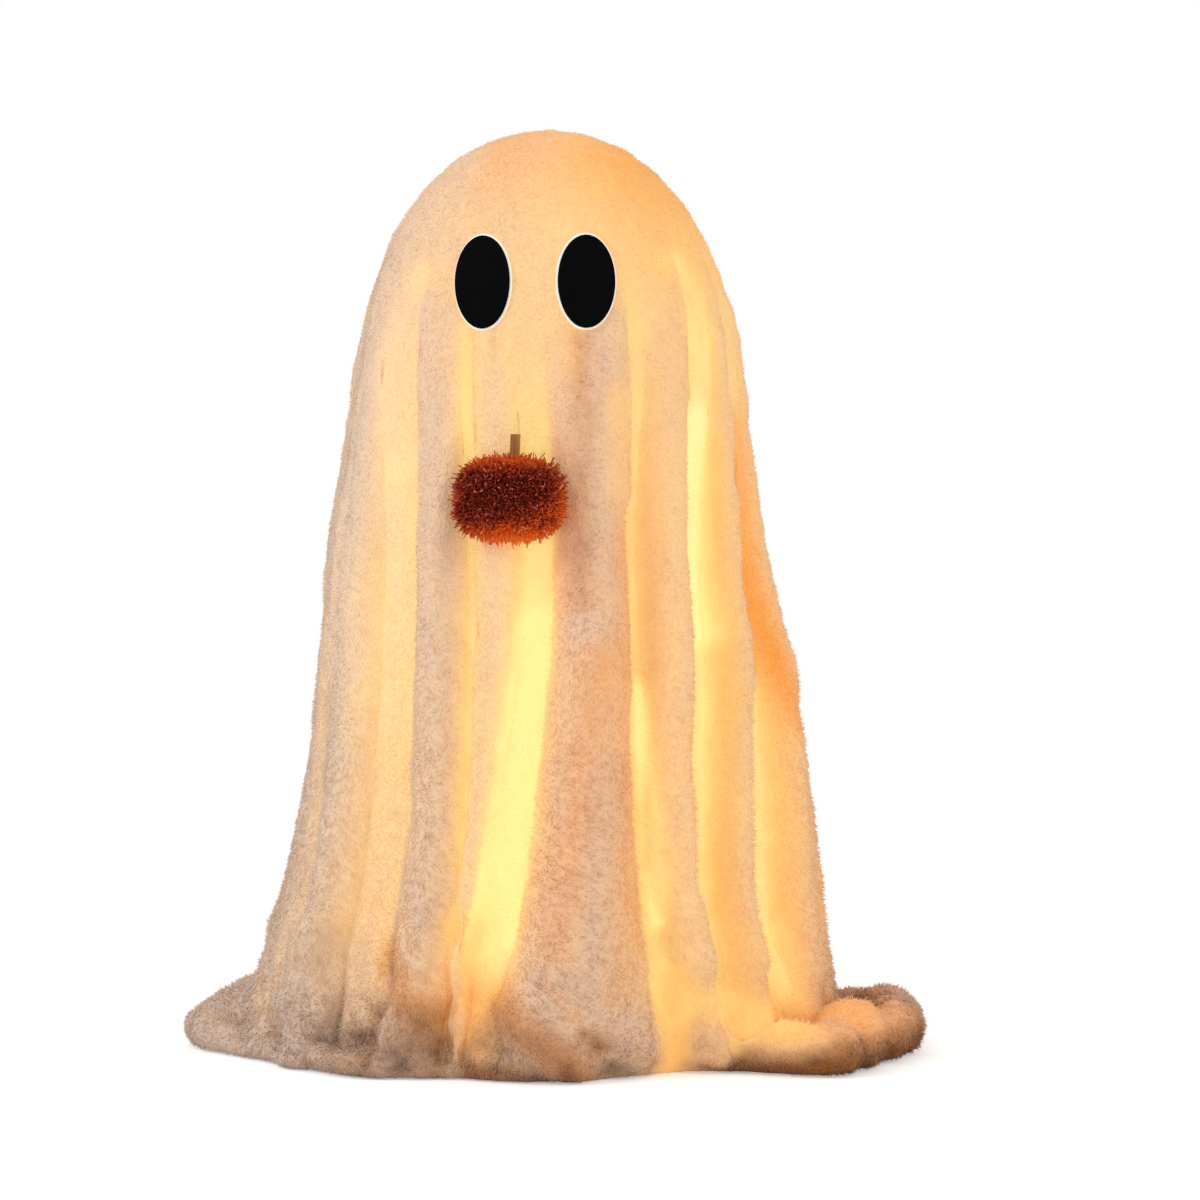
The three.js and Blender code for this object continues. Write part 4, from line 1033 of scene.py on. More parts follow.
# Felt: two close colours in matted patches, with fibres raised across it, and a painted glow if one is given
def makeFelt(name, dark, light, paintedGlow=0.0):
    finish = Finish(name)
    matted = finish.noise(1400, 4)
    fibres = finish.noise(420, 3, (1, 3, 1))
    colour = finish.mixed(finish.between(matted, 0.3, 0.75), dark, light)
    return finish.surface(
        Base_Color=colour, Roughness=0.96, Specular_IOR_Level=0.05,
        Normal=finish.bump(matted + fibres * 0.6, 0.0004), Emission_Color=light, Emission_Strength=paintedGlow,
    )


# Each eye is a black oval on a pale one that shows as a thin border, the pale one with a painted glow
def makeEyes():
    black = makeFelt("black_felt", tone(3, 3, 4), tone(13, 12, 14))
    pale = makeFelt("pale_felt", tone(244, 232, 214), tone(255, 250, 240), 0.22)
    half = np.array(eye["half"])
    lift = eye["seat"] + eye["lift"] + eye["backing"]
    for name, angle in eyeAngles.items():
        border = half + eye["border"]
        rear = feltOval(f"{name}_backing_felt", angle, border, eye["seat"], eye["backing"], pale)
        standsFor(rear, "pale_felt", f"{name}_backing")
        standsFor(feltOval(f"{name}_felt", angle, half, lift, eye["felt"], black), "black_felt", name)


makeEyes()
print("eyes made")

# Pumpkin: a squarish foam core with fine bristles all over and a short stem
pumpkin = {
    "angle": -9.6,
    "height": 296.8,
    "out": 119.0,
    "half": (25.5, 13.0, 17.8),  # across, deep and up, of the core
    "squareness": 3.4,
    "rows": 34,
    "columns": 64,
    "lobes": (8, 0.03),
    "gap": 2.5,
    "bristles": 11800,
    "sunk": 1.2,
    "clear": 1.2,
    "length": (3.2, 6.2),
    "width": 0.36,
    "widths": (0.7, 1.3),
    "spread": 1.25,
    "bend": 2.8,
    "seed": 5,
}
stem = {
    "radius": 2.55,
    "low": 306,
    "high": 329.8,
    "rows": 26,
    "columns": 56,
    "ribs": 7,
    "ribDepth": 0.07,
    "twist": 1.2,
    "leanTo": (0.9, -0.6),
}


# Directions on the unit ball pushed out to |x/a|^k + |y/b|^k + |z/c|^k = 1, with the way out there
def boxyBall(ways, half, power):
    long = ((np.abs(ways) / half) ** power).sum(-1, keepdims=True) ** (1 / power)
    points = ways / long
    return points, unit(np.sign(points) * (np.abs(points) / half) ** (power - 1) / half)


# From the pumpkin's own axes, across, towards the cloth and up, to the frame's
def onPumpkin(points):
    turn = math.radians(pumpkin["angle"])
    east = np.array([math.cos(turn), math.sin(turn), 0])
    inwards = np.array([-math.sin(turn), math.cos(turn), 0])
    middle = around(pumpkin["angle"], pumpkin["out"], pumpkin["height"])
    return middle + points[..., :1] * east + points[..., 1:2] * inwards + points[..., 2:] * (0, 0, 1)


# Bristles: dark red at their feet and in the middle; orange and glowing at the rim, at the bottom and at the
# right with painted light from behind; lighter to the tips; and a few painted pale glints
def makeBristleFinish():
    finish = Finish("bristles")
    edge, tip, tint = (finish.attribute(name) for name in ("edge", "tip", "tint"))
    mottle = finish.noise(160, 2)
    spread = edge * 0.7 + tip * 0.22 + (mottle - 0.5) * 0.35 + (tint - 0.5) * 0.3
    colour = finish.ramp(
        spread, (0.0, tone(92, 16, 3)), (0.3, tone(142, 36, 6)),
        (0.62, tone(196, 76, 12)), (1.0, tone(232, 124, 34)),
    )
    # Painted glints near the tips of a few bristles
    glint = finish.between(tint, 0.93, 0.95) * finish.between(tip, 0.6, 1)
    # Painted glow where the painted light from behind is strongest
    return finish.surface(
        Base_Color=finish.mixed(glint * 0.8, colour, tone(232, 150, 130)), Roughness=0.5,
        Specular_IOR_Level=0.22, Emission_Strength=1.0,
        Emission_Color=finish.ramp(spread, (0.35, grey(0)), (1.0, tone(128, 40, 4))),
    )


# Foam: small cells, their middles sunk by the bump and painted darker as shade, paler at their walls
def makeFoamFinish():
    finish = Finish("foam")
    cells = finish.cells(700)
    colour = finish.ramp(cells, (0.0, tone(64, 14, 4)), (0.6, tone(120, 36, 10)), (1.0, tone(150, 58, 20)))
    return finish.surface(Base_Color=colour, Roughness=0.95, Normal=finish.bump(cells, 0.0006))


# The core: the boxy ball with shallow lobes, moved out where it would touch the cloth
def makeCore():
    half = np.array(pumpkin["half"])
    lean = np.linspace(0, np.pi, pumpkin["rows"])[1:-1, None]
    turn = turns(pumpkin["columns"])[None]
    spots = (np.sin(lean) * np.sin(turn), -np.sin(lean) * np.cos(turn), np.cos(lean) + 0 * turn)
    grid, _ = boxyBall(np.stack(spots, -1), half, pumpkin["squareness"])
    lobes, depth = pumpkin["lobes"]
    grid = grid * (1 + depth * np.cos(lobes * turn)[..., None] * np.sin(lean)[..., None])
    ends = onPumpkin(np.array([[0, 0, half[2]], [0, 0, -half[2]]]))
    grid = offCloth(onPumpkin(grid), pumpkin["gap"])
    core = closedMesh("pumpkin_core_foam", grid, *ends, makeFoamFinish(), "cover")
    standsFor(core, "foam", "pumpkin_core")


# Bristles: each starts under the core's skin, aims outwards with a wide spread and bends. Those that would
# meet the cloth are left out.
def makeBristles():
    half = np.array(pumpkin["half"])
    dice, count = np.random.default_rng(pumpkin["seed"]), pumpkin["bristles"]
    points, out = boxyBall(unit(dice.normal(size=(count, 3))), half - pumpkin["sunk"], pumpkin["squareness"])
    aim = unit(out + pumpkin["spread"] * dice.normal(size=(count, 3)) * 0.6)
    long = dice.uniform(*pumpkin["length"], (count, 1))
    bend = pumpkin["bend"] * dice.normal(size=(count, 3)) * 0.5
    spine = [points, points + aim * long * 0.55 + bend * 0.4, points + aim * long * 0.93 + bend]
    spine = np.stack([onPumpkin(place) for place in spine], 1)
    keep = clearOfCloth(spine).min(axis=1) > pumpkin["clear"]
    spine, points = spine[keep], points[keep]
    count = keep.sum()
    width = pumpkin["width"] * dice.uniform(*pumpkin["widths"], count)
    twist = dice.uniform(0, 2 * np.pi, count)
    ball = strandMesh("pumpkin_bristle_coat", spine, width, twist, makeBristleFinish(), "cover")
    # Painted light from behind: more at the rim, at the bottom and at the right
    away = np.maximum(np.abs(points[:, 0]) / half[0] * 0.8, np.abs(points[:, 2]) / half[2])
    low = eased((-points[:, 2] + 0.35 * points[:, 0]) / half[2])
    addAttribute(ball, "edge", np.repeat(eased((away - 0.4) / 0.7) * 0.75 + 0.4 * low, 9))
    addAttribute(ball, "tip", np.tile(np.repeat([0.0, 0.6, 1.0], 3), count))
    addAttribute(ball, "tint", np.repeat(dice.random(count), 9))
    out = unit(points)
    across = 0.5 + np.arctan2(out[:, 0], -out[:, 1]) / (2 * np.pi)
    down = np.arccos(np.clip(out[:, 2], -1, 1)) / np.pi
    middle, section = np.array((0.5, 0.4)), np.array([(0, 0), (1, 0), (0.5, 1)])
    corners = [middle + (corner - middle) * share for share in (1, 0.66, 0.33) for corner in section]
    addMap(ball, np.stack([across, down], -1), corners)
    standsFor(ball, "bristles", "pumpkin_bristles")


# Stem: a ribbed round section carried up a slightly leaning line, wider at the foot and cut flat at the top
def makeStem():
    finish = Finish("stem_wood")
    grain = finish.noise(260, 4, (1, 1, 0.06))
    fibres = finish.noise(900, 3, (1, 1, 0.1))
    colour = finish.ramp(
        grain, (0.3, tone(104, 62, 20)), (0.5, tone(166, 112, 48)), (0.72, tone(208, 158, 88)),
    )
    bump = finish.bump(grain + fibres * 0.5, 0.0006)
    material = finish.surface(Base_Color=colour, Roughness=0.8, Normal=bump)
    share = np.linspace(0, 1, stem["rows"])[:, None]
    turn = turns(stem["columns"])[None]
    section = 1 + stem["ribDepth"] * np.cos(stem["ribs"] * turn + stem["twist"] * share)
    grow = 1 + 0.35 * (1 - share) ** 3 - 0.04 * share + 0.05 * eased((share - 0.86) / 0.14)
    radius = stem["radius"] * section * grow
    middle = boxOf("pumpkin_stem")[2]
    x = middle[0] + stem["leanTo"][0] * share + radius * np.sin(turn)
    y = middle[1] + stem["leanTo"][1] * share - radius * np.cos(turn)
    height = stem["low"] + (stem["high"] - stem["low"]) * share + 0 * turn
    rings = np.stack([x, y, height], -1)[::-1]
    top = rings[0].mean(axis=0)
    lip = [top + (rings[0] - top) * wide + (0, 0, rise) for wide, rise in ((0.5, 0.2), (0.93, 0.35))]
    grid = np.concatenate([np.stack(lip), rings])
    piece = closedMesh("pumpkin_stem_wood", grid, top, rings[-1].mean(axis=0), material, "cover")
    standsFor(piece, "stem_wood", "pumpkin_stem")


makeCore()
makeBristles()
makeStem()
print("pumpkin made")


# A node's axis: its middle, its longest way, turned upwards, and half its length along that
def nodeAxis(name):
    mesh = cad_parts[name].data
    points = np.empty(len(mesh.vertices) * 3, np.float32)
    mesh.vertices.foreach_get("co", points)
    points = points.reshape(-1, 3) / mm
    middle = (points.min(axis=0) + points.max(axis=0)) / 2
    way = np.linalg.svd(points - points.mean(axis=0), full_matrices=False)[2][0]
    way = way if way[2] >= 0 else -way
    reach = (points - middle) @ way
    return middle + way * (reach.max() + reach.min()) / 2, way, (reach.max() - reach.min()) / 2


# A profile of (radius, place along the axis) turned about an axis through a middle, closed at both ends. It
# stands for one node.
def turnedPiece(name, node, slot, profile, middle, way, columns, material, wobble=0.0):
    profile = np.array(profile, float)
    side = unit(np.cross(way, (0.21, 0.93, 0.31)))
    turn = turns(columns)
    out = np.cos(turn)[:, None] * side + np.sin(turn)[:, None] * np.cross(way, side)
    radius = profile[:, None, :1] * (1 + wobble * np.cos(3 * turn + middle[2]))[None, :, None]
    grid = middle + profile[:, None, 1:] * way + radius * out[None]
    ends = (middle + profile[0, 1] * way, middle + profile[-1, 1] * way)
    piece = closedMesh(name, grid, *ends, material, "base")
    standsFor(piece, slot, node)
    return piece


# A round section carried along a path [n, 3], with the way out of the path's curve given at each place
def tubeMesh(name, path, out, radius, sides, material, closed=False):
    along = np.roll(path, -1, axis=0) - np.roll(path, 1, axis=0) if closed else np.gradient(path, axis=0)
    other = np.cross(unit(along), out)
    turn = turns(sides)[None, :, None]
    section = np.cos(turn) * out[:, None] + np.sin(turn) * other[:, None]
    grid = path[:, None] + radius[:, None, None] * section
    if not closed:
        return closedMesh(name, grid[::-1], path[-1], path[0], material, "base")
    faces = gridFaces(len(grid) + 1, sides) % (len(grid) * sides)
    return makeMesh(name, grid.reshape(-1, 3), [faces[:, ::-1]], material, "base")


# Drawn steel: fine lines along the wire, duller in patches
def makeSteel(name, stretch, dark, light):
    finish = Finish(name)
    lines = finish.noise(900, 4, stretch)
    dull = finish.noise(22, 3)
    colour = finish.ramp(lines * 0.55 + dull * 0.45, (0.36, dark), (0.64, light))
    rough = dull * 0.3 + lines * 0.15 + 0.12
    bump = finish.bump(lines, 0.00004)
    return finish.surface(Base_Color=colour, Metallic=1.0, Roughness=rough, Normal=bump)


# Moulded plastic: a fine grain, faint flow marks, and patches rubbed smoother
def makePlastic(name, dark, light, rough):
    finish = Finish(name)
    flow = finish.noise(18, 4, (1, 1, 0.3))
    rubbed = finish.noise(60, 3)
    pores = finish.noise(900, 3)
    colour = finish.mixed(finish.between(flow * 0.7 + pores * 0.3, 0.35, 0.65), dark, light)
    bump = finish.bump(pores + flow * 0.5, 0.00006)
    return finish.surface(Base_Color=colour, Roughness=rubbed * 0.25 + (rough - 0.12), Normal=bump)


# Frosted shell: ground on the outside, with a painted glow where the lights inside it stand close
def makeFrosted():
    finish = Finish("frosted_plastic")
    ground = finish.noise(1600, 3)
    clouds = finish.noise(26, 3)
    colour = finish.mixed(clouds, tone(224, 216, 204), tone(244, 238, 228))
    # Painted glow: warmer and brighter nearer each light inside
    nearest = 0
    for node in lights[shell["lightsFrom"]:]:
        spots = {0: finish.place(), 1: tuple(nodeAxis(node)[0] * mm)}
        away = finish.node("ShaderNodeVectorMath", {"operation": "DISTANCE"}, spots, 1)
        nearest = nearest + finish.between(away, 0.075, 0.004) ** 2
    given = finish.ramp(
        nearest, (0.0, tone(70, 50, 26)), (0.35, tone(196, 142, 72)), (1.0, tone(255, 226, 160)),
    )
    return finish.surface(
        Base_Color=colour, Roughness=clouds * 0.2 + 0.45, Normal=finish.bump(ground, 0.00008),
        Emission_Color=given, Emission_Strength=0.55, Subsurface_Weight=0.3, Subsurface_Scale=0.004,
    )


# Copper wire: lacquered, with painted shade and highlight in the dark and bright lines of its two twisted
# strands
def makeCopper():
    finish = Finish("copper_wire")
    settings = {"wave_type": "BANDS", "bands_direction": "DIAGONAL"}
    values = {"Vector": finish.place(), "Scale": 180, "Distortion": 1.5}
    twist = finish.node("ShaderNodeTexWave", settings, values, 1)
    stain = finish.noise(40, 3)
    colour = finish.ramp(
        twist * 0.7 + stain * 0.4, (0.2, tone(96, 48, 22)), (0.6, tone(190, 116, 62)),
        (1.0, tone(232, 168, 112)),
    )
    bump = finish.bump(twist, 0.00015)
    return finish.surface(Base_Color=colour, Metallic=0.9, Roughness=stain * 0.2 + 0.22, Normal=bump)


# Bead lights: clear warm resin, brightest at the chip in its middle and amber where the wire goes in
def makeResin():
    finish = Finish("warm_light")
    along = finish.attribute("along")
    swirl = finish.noise(500, 3)
    core = along + (swirl - 0.5) * 0.2
    colour = finish.ramp(
        core, (0.0, tone(214, 150, 78)), (0.6, tone(255, 226, 170)), (1.0, tone(255, 244, 214)),
    )
    given = finish.ramp(
        core, (0.0, tone(96, 54, 16)), (0.55, tone(255, 196, 104)), (1.0, tone(255, 238, 190)),
    )
    return finish.surface(
        Base_Color=colour, Roughness=swirl * 0.15 + 0.05, Emission_Color=given, Emission_Strength=2.4,
        Coat_Weight=0.6,
    )


# Inner parts: the frame under the cloth, the lights on their wire, and the battery case
bead = {"rows": 15, "columns": 20, "least": 0.62, "swell": 1.5, "wobble": 0.05}
rod = {"count": 6, "radius": 2.0, "chamfer": 0.4, "straight": 0.5, "rows": 9, "columns": 24}
hoop = {"count": 3, "wire": 1.25, "tack": 0.2, "tackWide": 1.6, "firstRod": 30, "places": 160, "sides": 12}


# A bead is a drop drawn out along the wire: its radius is a power of a sine along it, fuller in its middle
def makeBeads():
    material = makeResin()
    share = np.linspace(0, 1, bead["rows"] + 2)[1:-1]
    wave = np.sin(np.pi * share)
    for node in lights:
        middle, way, half = nodeAxis(node)
        profile = np.stack([bead["least"] + bead["swell"] * wave**0.7, (1 - 2 * share) * half], -1)
        piece = turnedPiece(f"{node}_resin", node, "warm_light", profile, middle, way, bead["columns"],
                            material, bead["wobble"])
        addAttribute(piece, "along", np.concatenate([np.repeat(wave**1.5, bead["columns"]), [0, 0]]))


# Uprights are plain rods with a small chamfer
def makeRods():
    steel = makeSteel("frame_wire", (1, 1, 0.03), tone(132, 134, 138), tone(200, 202, 205))
    for number in range(1, rod["count"] + 1):
        node = f"upright_{number}"
        middle, way, half = nodeAxis(node)
        straight = np.linspace(half - rod["straight"], rod["straight"] - half, rod["rows"])
        places = np.concatenate([[half, half - rod["chamfer"]], straight, [rod["chamfer"] - half, -half]])
        radius = np.full(len(places), rod["radius"])
        radius[[0, -1]] = rod["radius"] - rod["chamfer"]
        profile = np.stack([radius, places], -1)
        turnedPiece(f"{node}_rod", node, "frame_wire", profile, middle, way, rod["columns"], steel)


# Rings are hoops, a little thicker where each is tacked to a rod
def makeHoops():
    steel = makeSteel("hoop_wire", (1, 1, 6), tone(126, 128, 132), tone(196, 198, 201))
    angles = np.arange(hoop["places"]) * 360 / hoop["places"]
    first, step = hoop["firstRod"], 360 / rod["count"]
    nearest = first + step * np.round((angles - first) / step)
    tack = np.exp(-((angleGap(angles, nearest) / hoop["tackWide"]) ** 2))
    for number in range(1, hoop["count"] + 1):
        node = f"ring_{number}"
        _, high, middle = boxOf(node)
        path = around(angles, high[0] - hoop["wire"] + 0 * angles, middle[2])
        out = around(angles, 1 + 0 * angles, 0)
        radius = hoop["wire"] + hoop["tack"] * tack
        piece = tubeMesh(f"{node}_hoop", path, out, radius, hoop["sides"], steel, closed=True)
        standsFor(piece, "frame_wire", node)


shell = {
    "gap": 4.6,  # between the cloth's middle surface and the shell
    "wall": 2.0,
    "rim": (392, 397),
    "rimInner": 68.4,
    "edge": 0.6,
    "rows": 40,
    "columns": 144,
    "pole": (0.5, 0.02),  # the least radius, and how far the closing points lie beyond the last rows
    "lightsFrom": 8,  # in the list of lights
}


# The shell: the cloth's dome moved inwards, then the flat rim, then the dome moved in by the wall as well
def makeShell():
    places = np.stack(wallPlaces(np.linspace(0, 1, shell["rows"] + 1)[1:]), -1)
    run = np.gradient(places, axis=0)
    out = np.stack([-run[:, 1], run[:, 0]], -1) / np.linalg.norm(run, axis=1, keepdims=True)
    outer = places - shell["gap"] * out
    inside = places - (shell["gap"] + shell["wall"]) * out
    (low, high), edge = shell["rim"], shell["edge"]
    foot, narrow, wide = outer[-1, 0], shell["rimInner"], inside[-1, 0]
    rim = [(foot, low + edge), (foot - edge, low), (narrow + edge, low), (narrow, low + edge)]
    rim += [(narrow, high - edge), (narrow + edge, high), (wide - edge, high), (wide, high + edge)]
    profile = np.concatenate([outer, rim, inside[::-1]])
    least, lift = shell["pole"]
    profile[:, 0] = np.maximum(profile[:, 0], least)
    turn = np.arange(shell["columns"]) * 360 / shell["columns"]
    grid = around(turn[None], profile[:, :1] + 0 * turn[None], profile[:, 1:])
    ends = ((0, 0, outer[0, 1] + lift), (0, 0, inside[0, 1] - lift))
    piece = closedMesh("head_shell_frosted", grid, *ends, makeFrosted(), "base")
    standsFor(piece, "frosted_plastic", "head_shell")


# A cell's profile: radii, with places from its top, its shoulder, which is lower by the button, and its foot
cell = {
    "count": 3,
    "radius": 7.2,
    "button": 1.2,
    "top": [(2.2, 0), (2.6, -0.3)],
    "shoulder": [(2.7, 0.1), (3.1, -0.1), (5.9, 0), (6.5, -0.1), (6.9, -0.4), (7.2, -0.9)],
    "sleeve": 1.6,
    "foot": [(7.2, 0.9), (6.9, 0.4), (6.5, 0.1), (5.4, 0), (5.2, 0.25), (4.8, 0.25), (4.6, 0), (2.0, 0)],
    "rows": 12,
    "columns": 40,
}


# The sleeve's colours run along the cell: steel, a green sleeve, a pale band, steel, all with scuffs
def makeSleeve(number, foot, top):
    finish = Finish(f"cell_sleeve_{number}")
    split = finish.node("ShaderNodeSeparateXYZ", {}, {"Vector": finish.place()}, 1)
    along = finish.between(split, foot, top)
    scuffs = finish.noise(70, 4, (1, 4, 1))
    steel, sleeve, band = tone(186, 186, 184), tone(40, 92, 74), tone(196, 170, 112)
    colour = finish.ramp(
        along, (0.018, steel), (0.022, sleeve), (0.7, sleeve), (0.705, band), (0.955, band), (0.96, steel),
    )
    colour = finish.mixed(finish.between(scuffs, 0.62, 0.75) * 0.5, colour, tone(140, 140, 136))
    bright = finish.ramp(along, (0.018, grey(1)), (0.022, grey(0.2)), (0.955, grey(0.35)), (0.96, grey(1)))
    bump = finish.bump(scuffs, 0.00008)
    return finish.surface(Base_Color=colour, Metallic=bright, Roughness=scuffs * 0.3 + 0.18, Normal=bump)


# A cell: a printed sleeve between bright steel ends, with a ring pressed in its foot and a button on its head
def makeCells():
    for number in range(1, cell["count"] + 1):
        node = f"cell_{number}"
        way = 1 if number % 2 else -1
        low, high, middle = boxOf(node)
        half = (high[1] - low[1]) / 2
        shoulder, sleeve = half - cell["button"], cell["sleeve"]
        profile = [(radius, half + place) for radius, place in cell["top"]]
        profile += [(radius, shoulder + place) for radius, place in cell["shoulder"]]
        straight = np.linspace(shoulder - sleeve, sleeve - half, cell["rows"])
        profile += [(cell["radius"], place) for place in straight]
        profile += [(radius, place - half) for radius, place in cell["foot"]]
        material = makeSleeve(number, (middle[1] - way * half) * mm, (middle[1] + way * half) * mm)
        axis = np.array([0, way, 0])
        turnedPiece(f"{node}_body", node, "cell_wrap", profile, middle, axis, cell["columns"], material)


spring = {"turns": 4.6, "radii": (3.75, 2.3), "half": 1.75, "flat": 0.12, "rise": 0.8, "wire": 0.32,
          "places": 150, "sides": 8}


# A contact spring: a helix that narrows from the case's end wall to the cell, with a flat first turn
def makeSprings(metal):
    for number in range(1, cell["count"] + 1):
        node = f"contact_spring_{number}"
        way = 1 if number % 2 else -1
        share = np.linspace(0, 1, spring["places"])
        turn = share * spring["turns"] * 2 * np.pi
        radius = blended(*spring["radii"], eased(share * 1.1))
        risen = np.clip((share - spring["flat"]) / spring["rise"], 0, 1)
        along = way * blended(-spring["half"], spring["half"], risen)
        out = np.stack([np.cos(turn), 0 * turn, np.sin(turn)], -1)
        path = boxOf(node)[2] + radius[:, None] * out + along[:, None] * (0, 1, 0)
        wire = np.full(len(share), spring["wire"])
        standsFor(tubeMesh(f"{node}_coil", path, out, wire, spring["sides"], metal), "nickel", node)


screw = {
    "columns": 64,
    "rows": 22,
    "dome": 1.3,
    "slotWide": 0.42,
    "slotEase": 0.14,
    "slotReach": 1.75,
    "slotEnd": 0.3,
    "slotDeep": 0.7,
    "head": 1.6,
    "shank": 1.4,
    "thread": 0.22,
    "threads": 9,
}


# Rings of places round the z axis, at radii and heights that each have one row per ring
def ringsRound(turn, radius, height):
    return np.stack([radius * np.sin(turn), -radius * np.cos(turn), height + 0 * turn], -1)


# A screw: a shank and a low head, its height over the radius an arc, with two crossing slots sunk in it
def makeScrews(metal):
    for number in (1, 2):
        node = f"case_screw_{number}"
        low, high, middle = boxOf(node)
        x, y = middle[:2]
        reach = (high[0] - low[0]) / 2
        turn = turns(screw["columns"])
        across = np.linspace(0.04, 1, screw["rows"])[:, None] * reach
        rise = high[2] - screw["dome"] * (across / reach) ** 4
        near = np.minimum(np.abs(across * np.sin(turn)), np.abs(across * np.cos(turn)))
        inSlot = eased((screw["slotWide"] - near) / screw["slotEase"])
        slot = inSlot * eased((screw["slotReach"] - across) / screw["slotEnd"])
        head = ringsRound(turn, across, rise - screw["slotDeep"] * slot)
        foot, shank = high[2] - screw["head"], screw["shank"]
        under = [(reach, foot + 0.15), (reach - 0.2, foot), (shank, foot), (shank, foot - 0.4)]
        threads = enumerate(np.linspace(foot - 0.7, low[2] + 0.6, screw["threads"]))
        under += [(shank - screw["thread"] * (k % 2), height) for k, height in threads]
        under = np.array(under + [(0.9, low[2] + 0.1), (0.5, low[2])])
        grid = np.concatenate([head, ringsRound(turn, under[:, :1], under[:, 1:])]) + (x, y, 0)
        ends = ((x, y, high[2] - screw["slotDeep"]), (x, y, low[2]))
        standsFor(closedMesh(f"{node}_turned", grid, *ends, metal, "base"), "nickel", node)


gland = {
    "flange": (2.55, 0.2),  # its radius, and where it ends as a share of the length
    "taper": (1.9, 1.35),
    "ribs": (0.22, 5.5, 0.26, 0.94),  # their height and number, and the shares of the length that they span
    "bore": (0.7, 1.2),
    "rows": 46,
    "columns": 28,
}


# The cable gland: a flange, then a tapering sleeve with raised rings
def makeGland(rubber):
    low, high, middle = boxOf("wire_gland")
    half = (high[0] - low[0]) / 2
    place = np.linspace(-half, half, gland["rows"])
    share = (place + half) / (2 * half)
    (wide, flangeEnd), (depth, count, start, end) = gland["flange"], gland["ribs"]
    ribs = depth * eased(np.sin(share * 2 * np.pi * count) * 2) * (share > start) * (share < end)
    radius = np.where(share < flangeEnd, wide, blended(*gland["taper"], share) + ribs)
    tip, back = gland["bore"]
    profile = np.concatenate([[(tip, half)], np.stack([radius, place], -1)[::-1], [(back, -half)]])
    turnedPiece("wire_gland_ribbed", "wire_gland", "black_plastic", profile, middle, np.array([1.0, 0, 0]),
                gland["columns"], rubber)


# The switch's board: green lacquer over copper runs, with tinned spots
def makeBoard():
    finish = Finish("circuit_board")
    turned = {"Vector": finish.place(), "Rotation": (math.radians(90), 0, 0)}
    values = {"Vector": finish.node("ShaderNodeMapping", {}, turned), "Scale": 330, "Mortar Size": 0.09,
              "Color1": grey(0), "Color2": grey(0), "Mortar": grey(1), "Brick Width": 1.6, "Row Height": 0.55}
    runs = finish.node("ShaderNodeTexBrick", {}, values)
    spots = finish.cells(300, Randomness=0.2)
    weave = finish.noise(1500, 3)
    green = finish.mixed(weave, tone(16, 66, 36), tone(28, 92, 52))
    colour = finish.mixed(runs, green, tone(66, 132, 70))
    tinned = finish.between(spots, 0.2, 0.14)
    return finish.surface(
        Base_Color=finish.mixed(tinned, colour, tone(196, 196, 190)), Metallic=tinned * 0.9,
        Roughness=weave * 0.2 + 0.25, Normal=finish.bump(runs, 0.00008),
    )


# Glue: set in a clear yellowish blob with small bubbles
def makeGlue():
    finish = Finish("glue")
    bubbles = finish.cells(900)
    haze = finish.noise(120, 3)
    colour = finish.mixed(haze, tone(214, 196, 158), tone(240, 230, 206))
    rough, bump = haze * 0.25 + 0.12, finish.bump(bubbles, 0.0003)
    return finish.surface(Base_Color=colour, Roughness=rough, Normal=bump, Coat_Weight=0.4)


# CAD nodes that keep their shapes and get a material
def setMaterial(material, *names):
    for name in names:
        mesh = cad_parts[name].data
        for number in range(len(mesh.materials)):
            mesh.materials[number] = material


makeRods()
makeHoops()
makeBeads()
makeShell()
makeCells()
nickel = makeSteel("nickel", (1, 1, 1), tone(150, 146, 138), tone(214, 210, 202))
black = makePlastic("black_plastic", tone(16, 16, 18), tone(34, 34, 37), 0.5)
makeSprings(nickel)
makeScrews(nickel)
makeGland(makePlastic("black_rubber", tone(14, 14, 15), tone(26, 26, 28), 0.75))
white = makePlastic("white_plastic", tone(230, 228, 222), tone(244, 243, 239), 0.45)
setMaterial(white, "base_plate", "switch_knob")
setMaterial(black, "battery_case", "battery_door")
setMaterial(nickel, "contact_plate_1", "contact_plate_2", "contact_plate_3")
setMaterial(makeCopper(), "light_wire")
setMaterial(makeBoard(), "switch_board")
setMaterial(makeGlue(), "pumpkin_glue")
print("inner parts made")

# Stage: pale floor, white round about, soft light. Metres.
stage = {
    "skyLight": 0.77,
    "skyTint": (1, 0.985, 0.97, 1),
    "floorGlow": 0.4,
    "floorHalf": 6.0,
    "floorDrop": 0.0005,
}
lamps = {
    "key": {"place": (-1.9, -1.2, 1.3), "size": 0.9, "power": 14.0, "colour": (1, 0.98, 0.97)},
    "fill": {"place": (1.4, -1.2, 1.0), "size": 1.4, "power": 4.5, "colour": (1, 0.93, 0.84)},
}


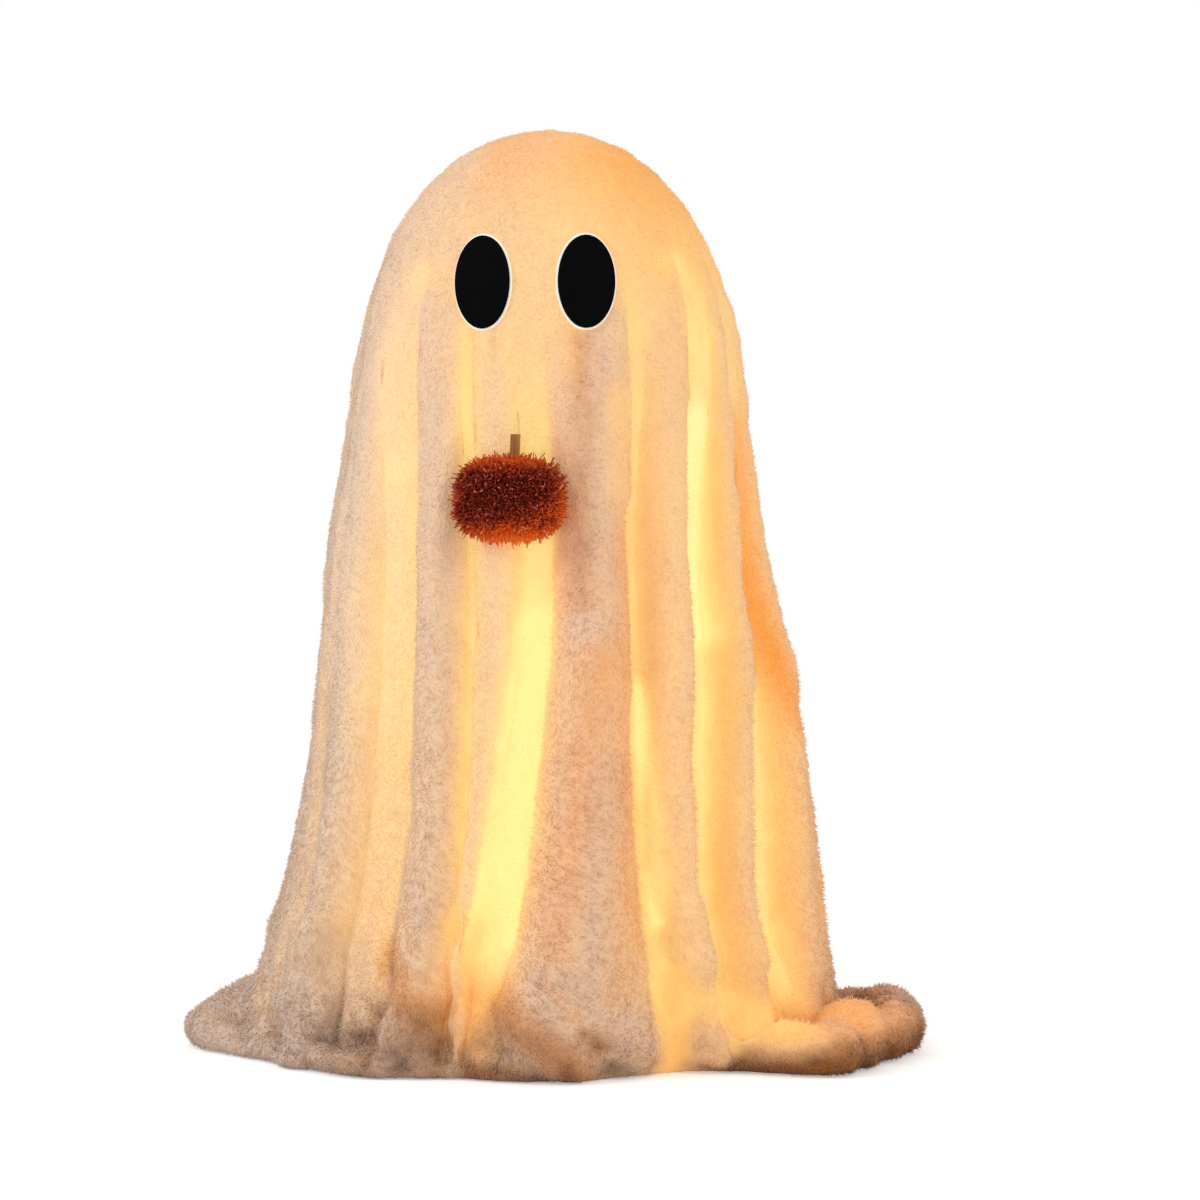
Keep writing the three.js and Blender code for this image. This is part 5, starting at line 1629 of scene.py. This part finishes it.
# White where the camera, a mirror or a clear piece sees the world, and softer where it only lights the scene
def makeWorld():
    sky = Finish("studio", "worlds")
    bpy.context.scene.world = sky.owner
    seen = sky.node("ShaderNodeLightPath", {}, {}, "Is Camera Ray")
    for ray in ("Is Glossy Ray", "Is Transmission Ray"):
        seen = seen.maths("MAXIMUM", seen, sky.node("ShaderNodeLightPath", {}, {}, ray))
    light = sky.node("ShaderNodeBackground", {}, {"Color": stage["skyTint"], "Strength": stage["skyLight"]})
    white = sky.node("ShaderNodeBackground", {}, {"Color": grey(1)})
    mix = sky.node("ShaderNodeMixShader", {}, [seen, light, white])
    sky.node("ShaderNodeOutputWorld", {}, [mix])


# A floor that the camera sees a little lighter than it is lit
def makeFloor():
    finish = Finish("floor_white")
    diffuse = finish.node("ShaderNodeBsdfDiffuse", {}, {"Color": grey(0.9)})
    white = finish.node("ShaderNodeEmission", {}, {"Color": grey(1), "Strength": stage["floorGlow"]})
    seen = finish.node("ShaderNodeLightPath", {}, {}, "Is Camera Ray")
    nothing = finish.node("ShaderNodeEmission", {}, {"Color": grey(0), "Strength": 0.0})
    glowing = finish.node("ShaderNodeMixShader", {}, [seen, nothing, white])
    both = finish.node("ShaderNodeAddShader", {}, [diffuse, glowing])
    finish.node("ShaderNodeOutputMaterial", {}, {"Surface": both})
    mesh = bpy.data.meshes.new("floor")
    half = stage["floorHalf"]
    corners = [(-half, -half, 0), (half, -half, 0), (half, half, 0), (-half, half, 0)]
    mesh.from_pydata(corners, [], [(0, 1, 2, 3)])
    mesh.materials.append(finish.owner)
    floor = bpy.data.objects.new("floor", mesh)
    floor.location = (0, 0, -stage["floorDrop"])
    bpy.context.scene.collection.objects.link(floor)


# A lamp aimed at the ghost's middle
def makeLamp(name, place, size, power, colour):
    data = bpy.data.lights.new(name, "AREA")
    data.shape, data.size, data.energy, data.color = "DISK", size, power, colour
    lamp = bpy.data.objects.new(name, data)
    lamp.location = place
    aim = np.array([0, 0, camera["height"]]) - np.array(place)
    flat = math.hypot(aim[0], aim[1])
    lamp.rotation_euler = (math.atan2(flat, -aim[2]), 0, math.atan2(-aim[0], aim[1]))
    bpy.context.scene.collection.objects.link(lamp)


makeWorld()
makeFloor()
for name, lamp in lamps.items():
    makeLamp(name, **lamp)
bpy.context.scene.view_settings.view_transform = "Standard"
print("stage set")
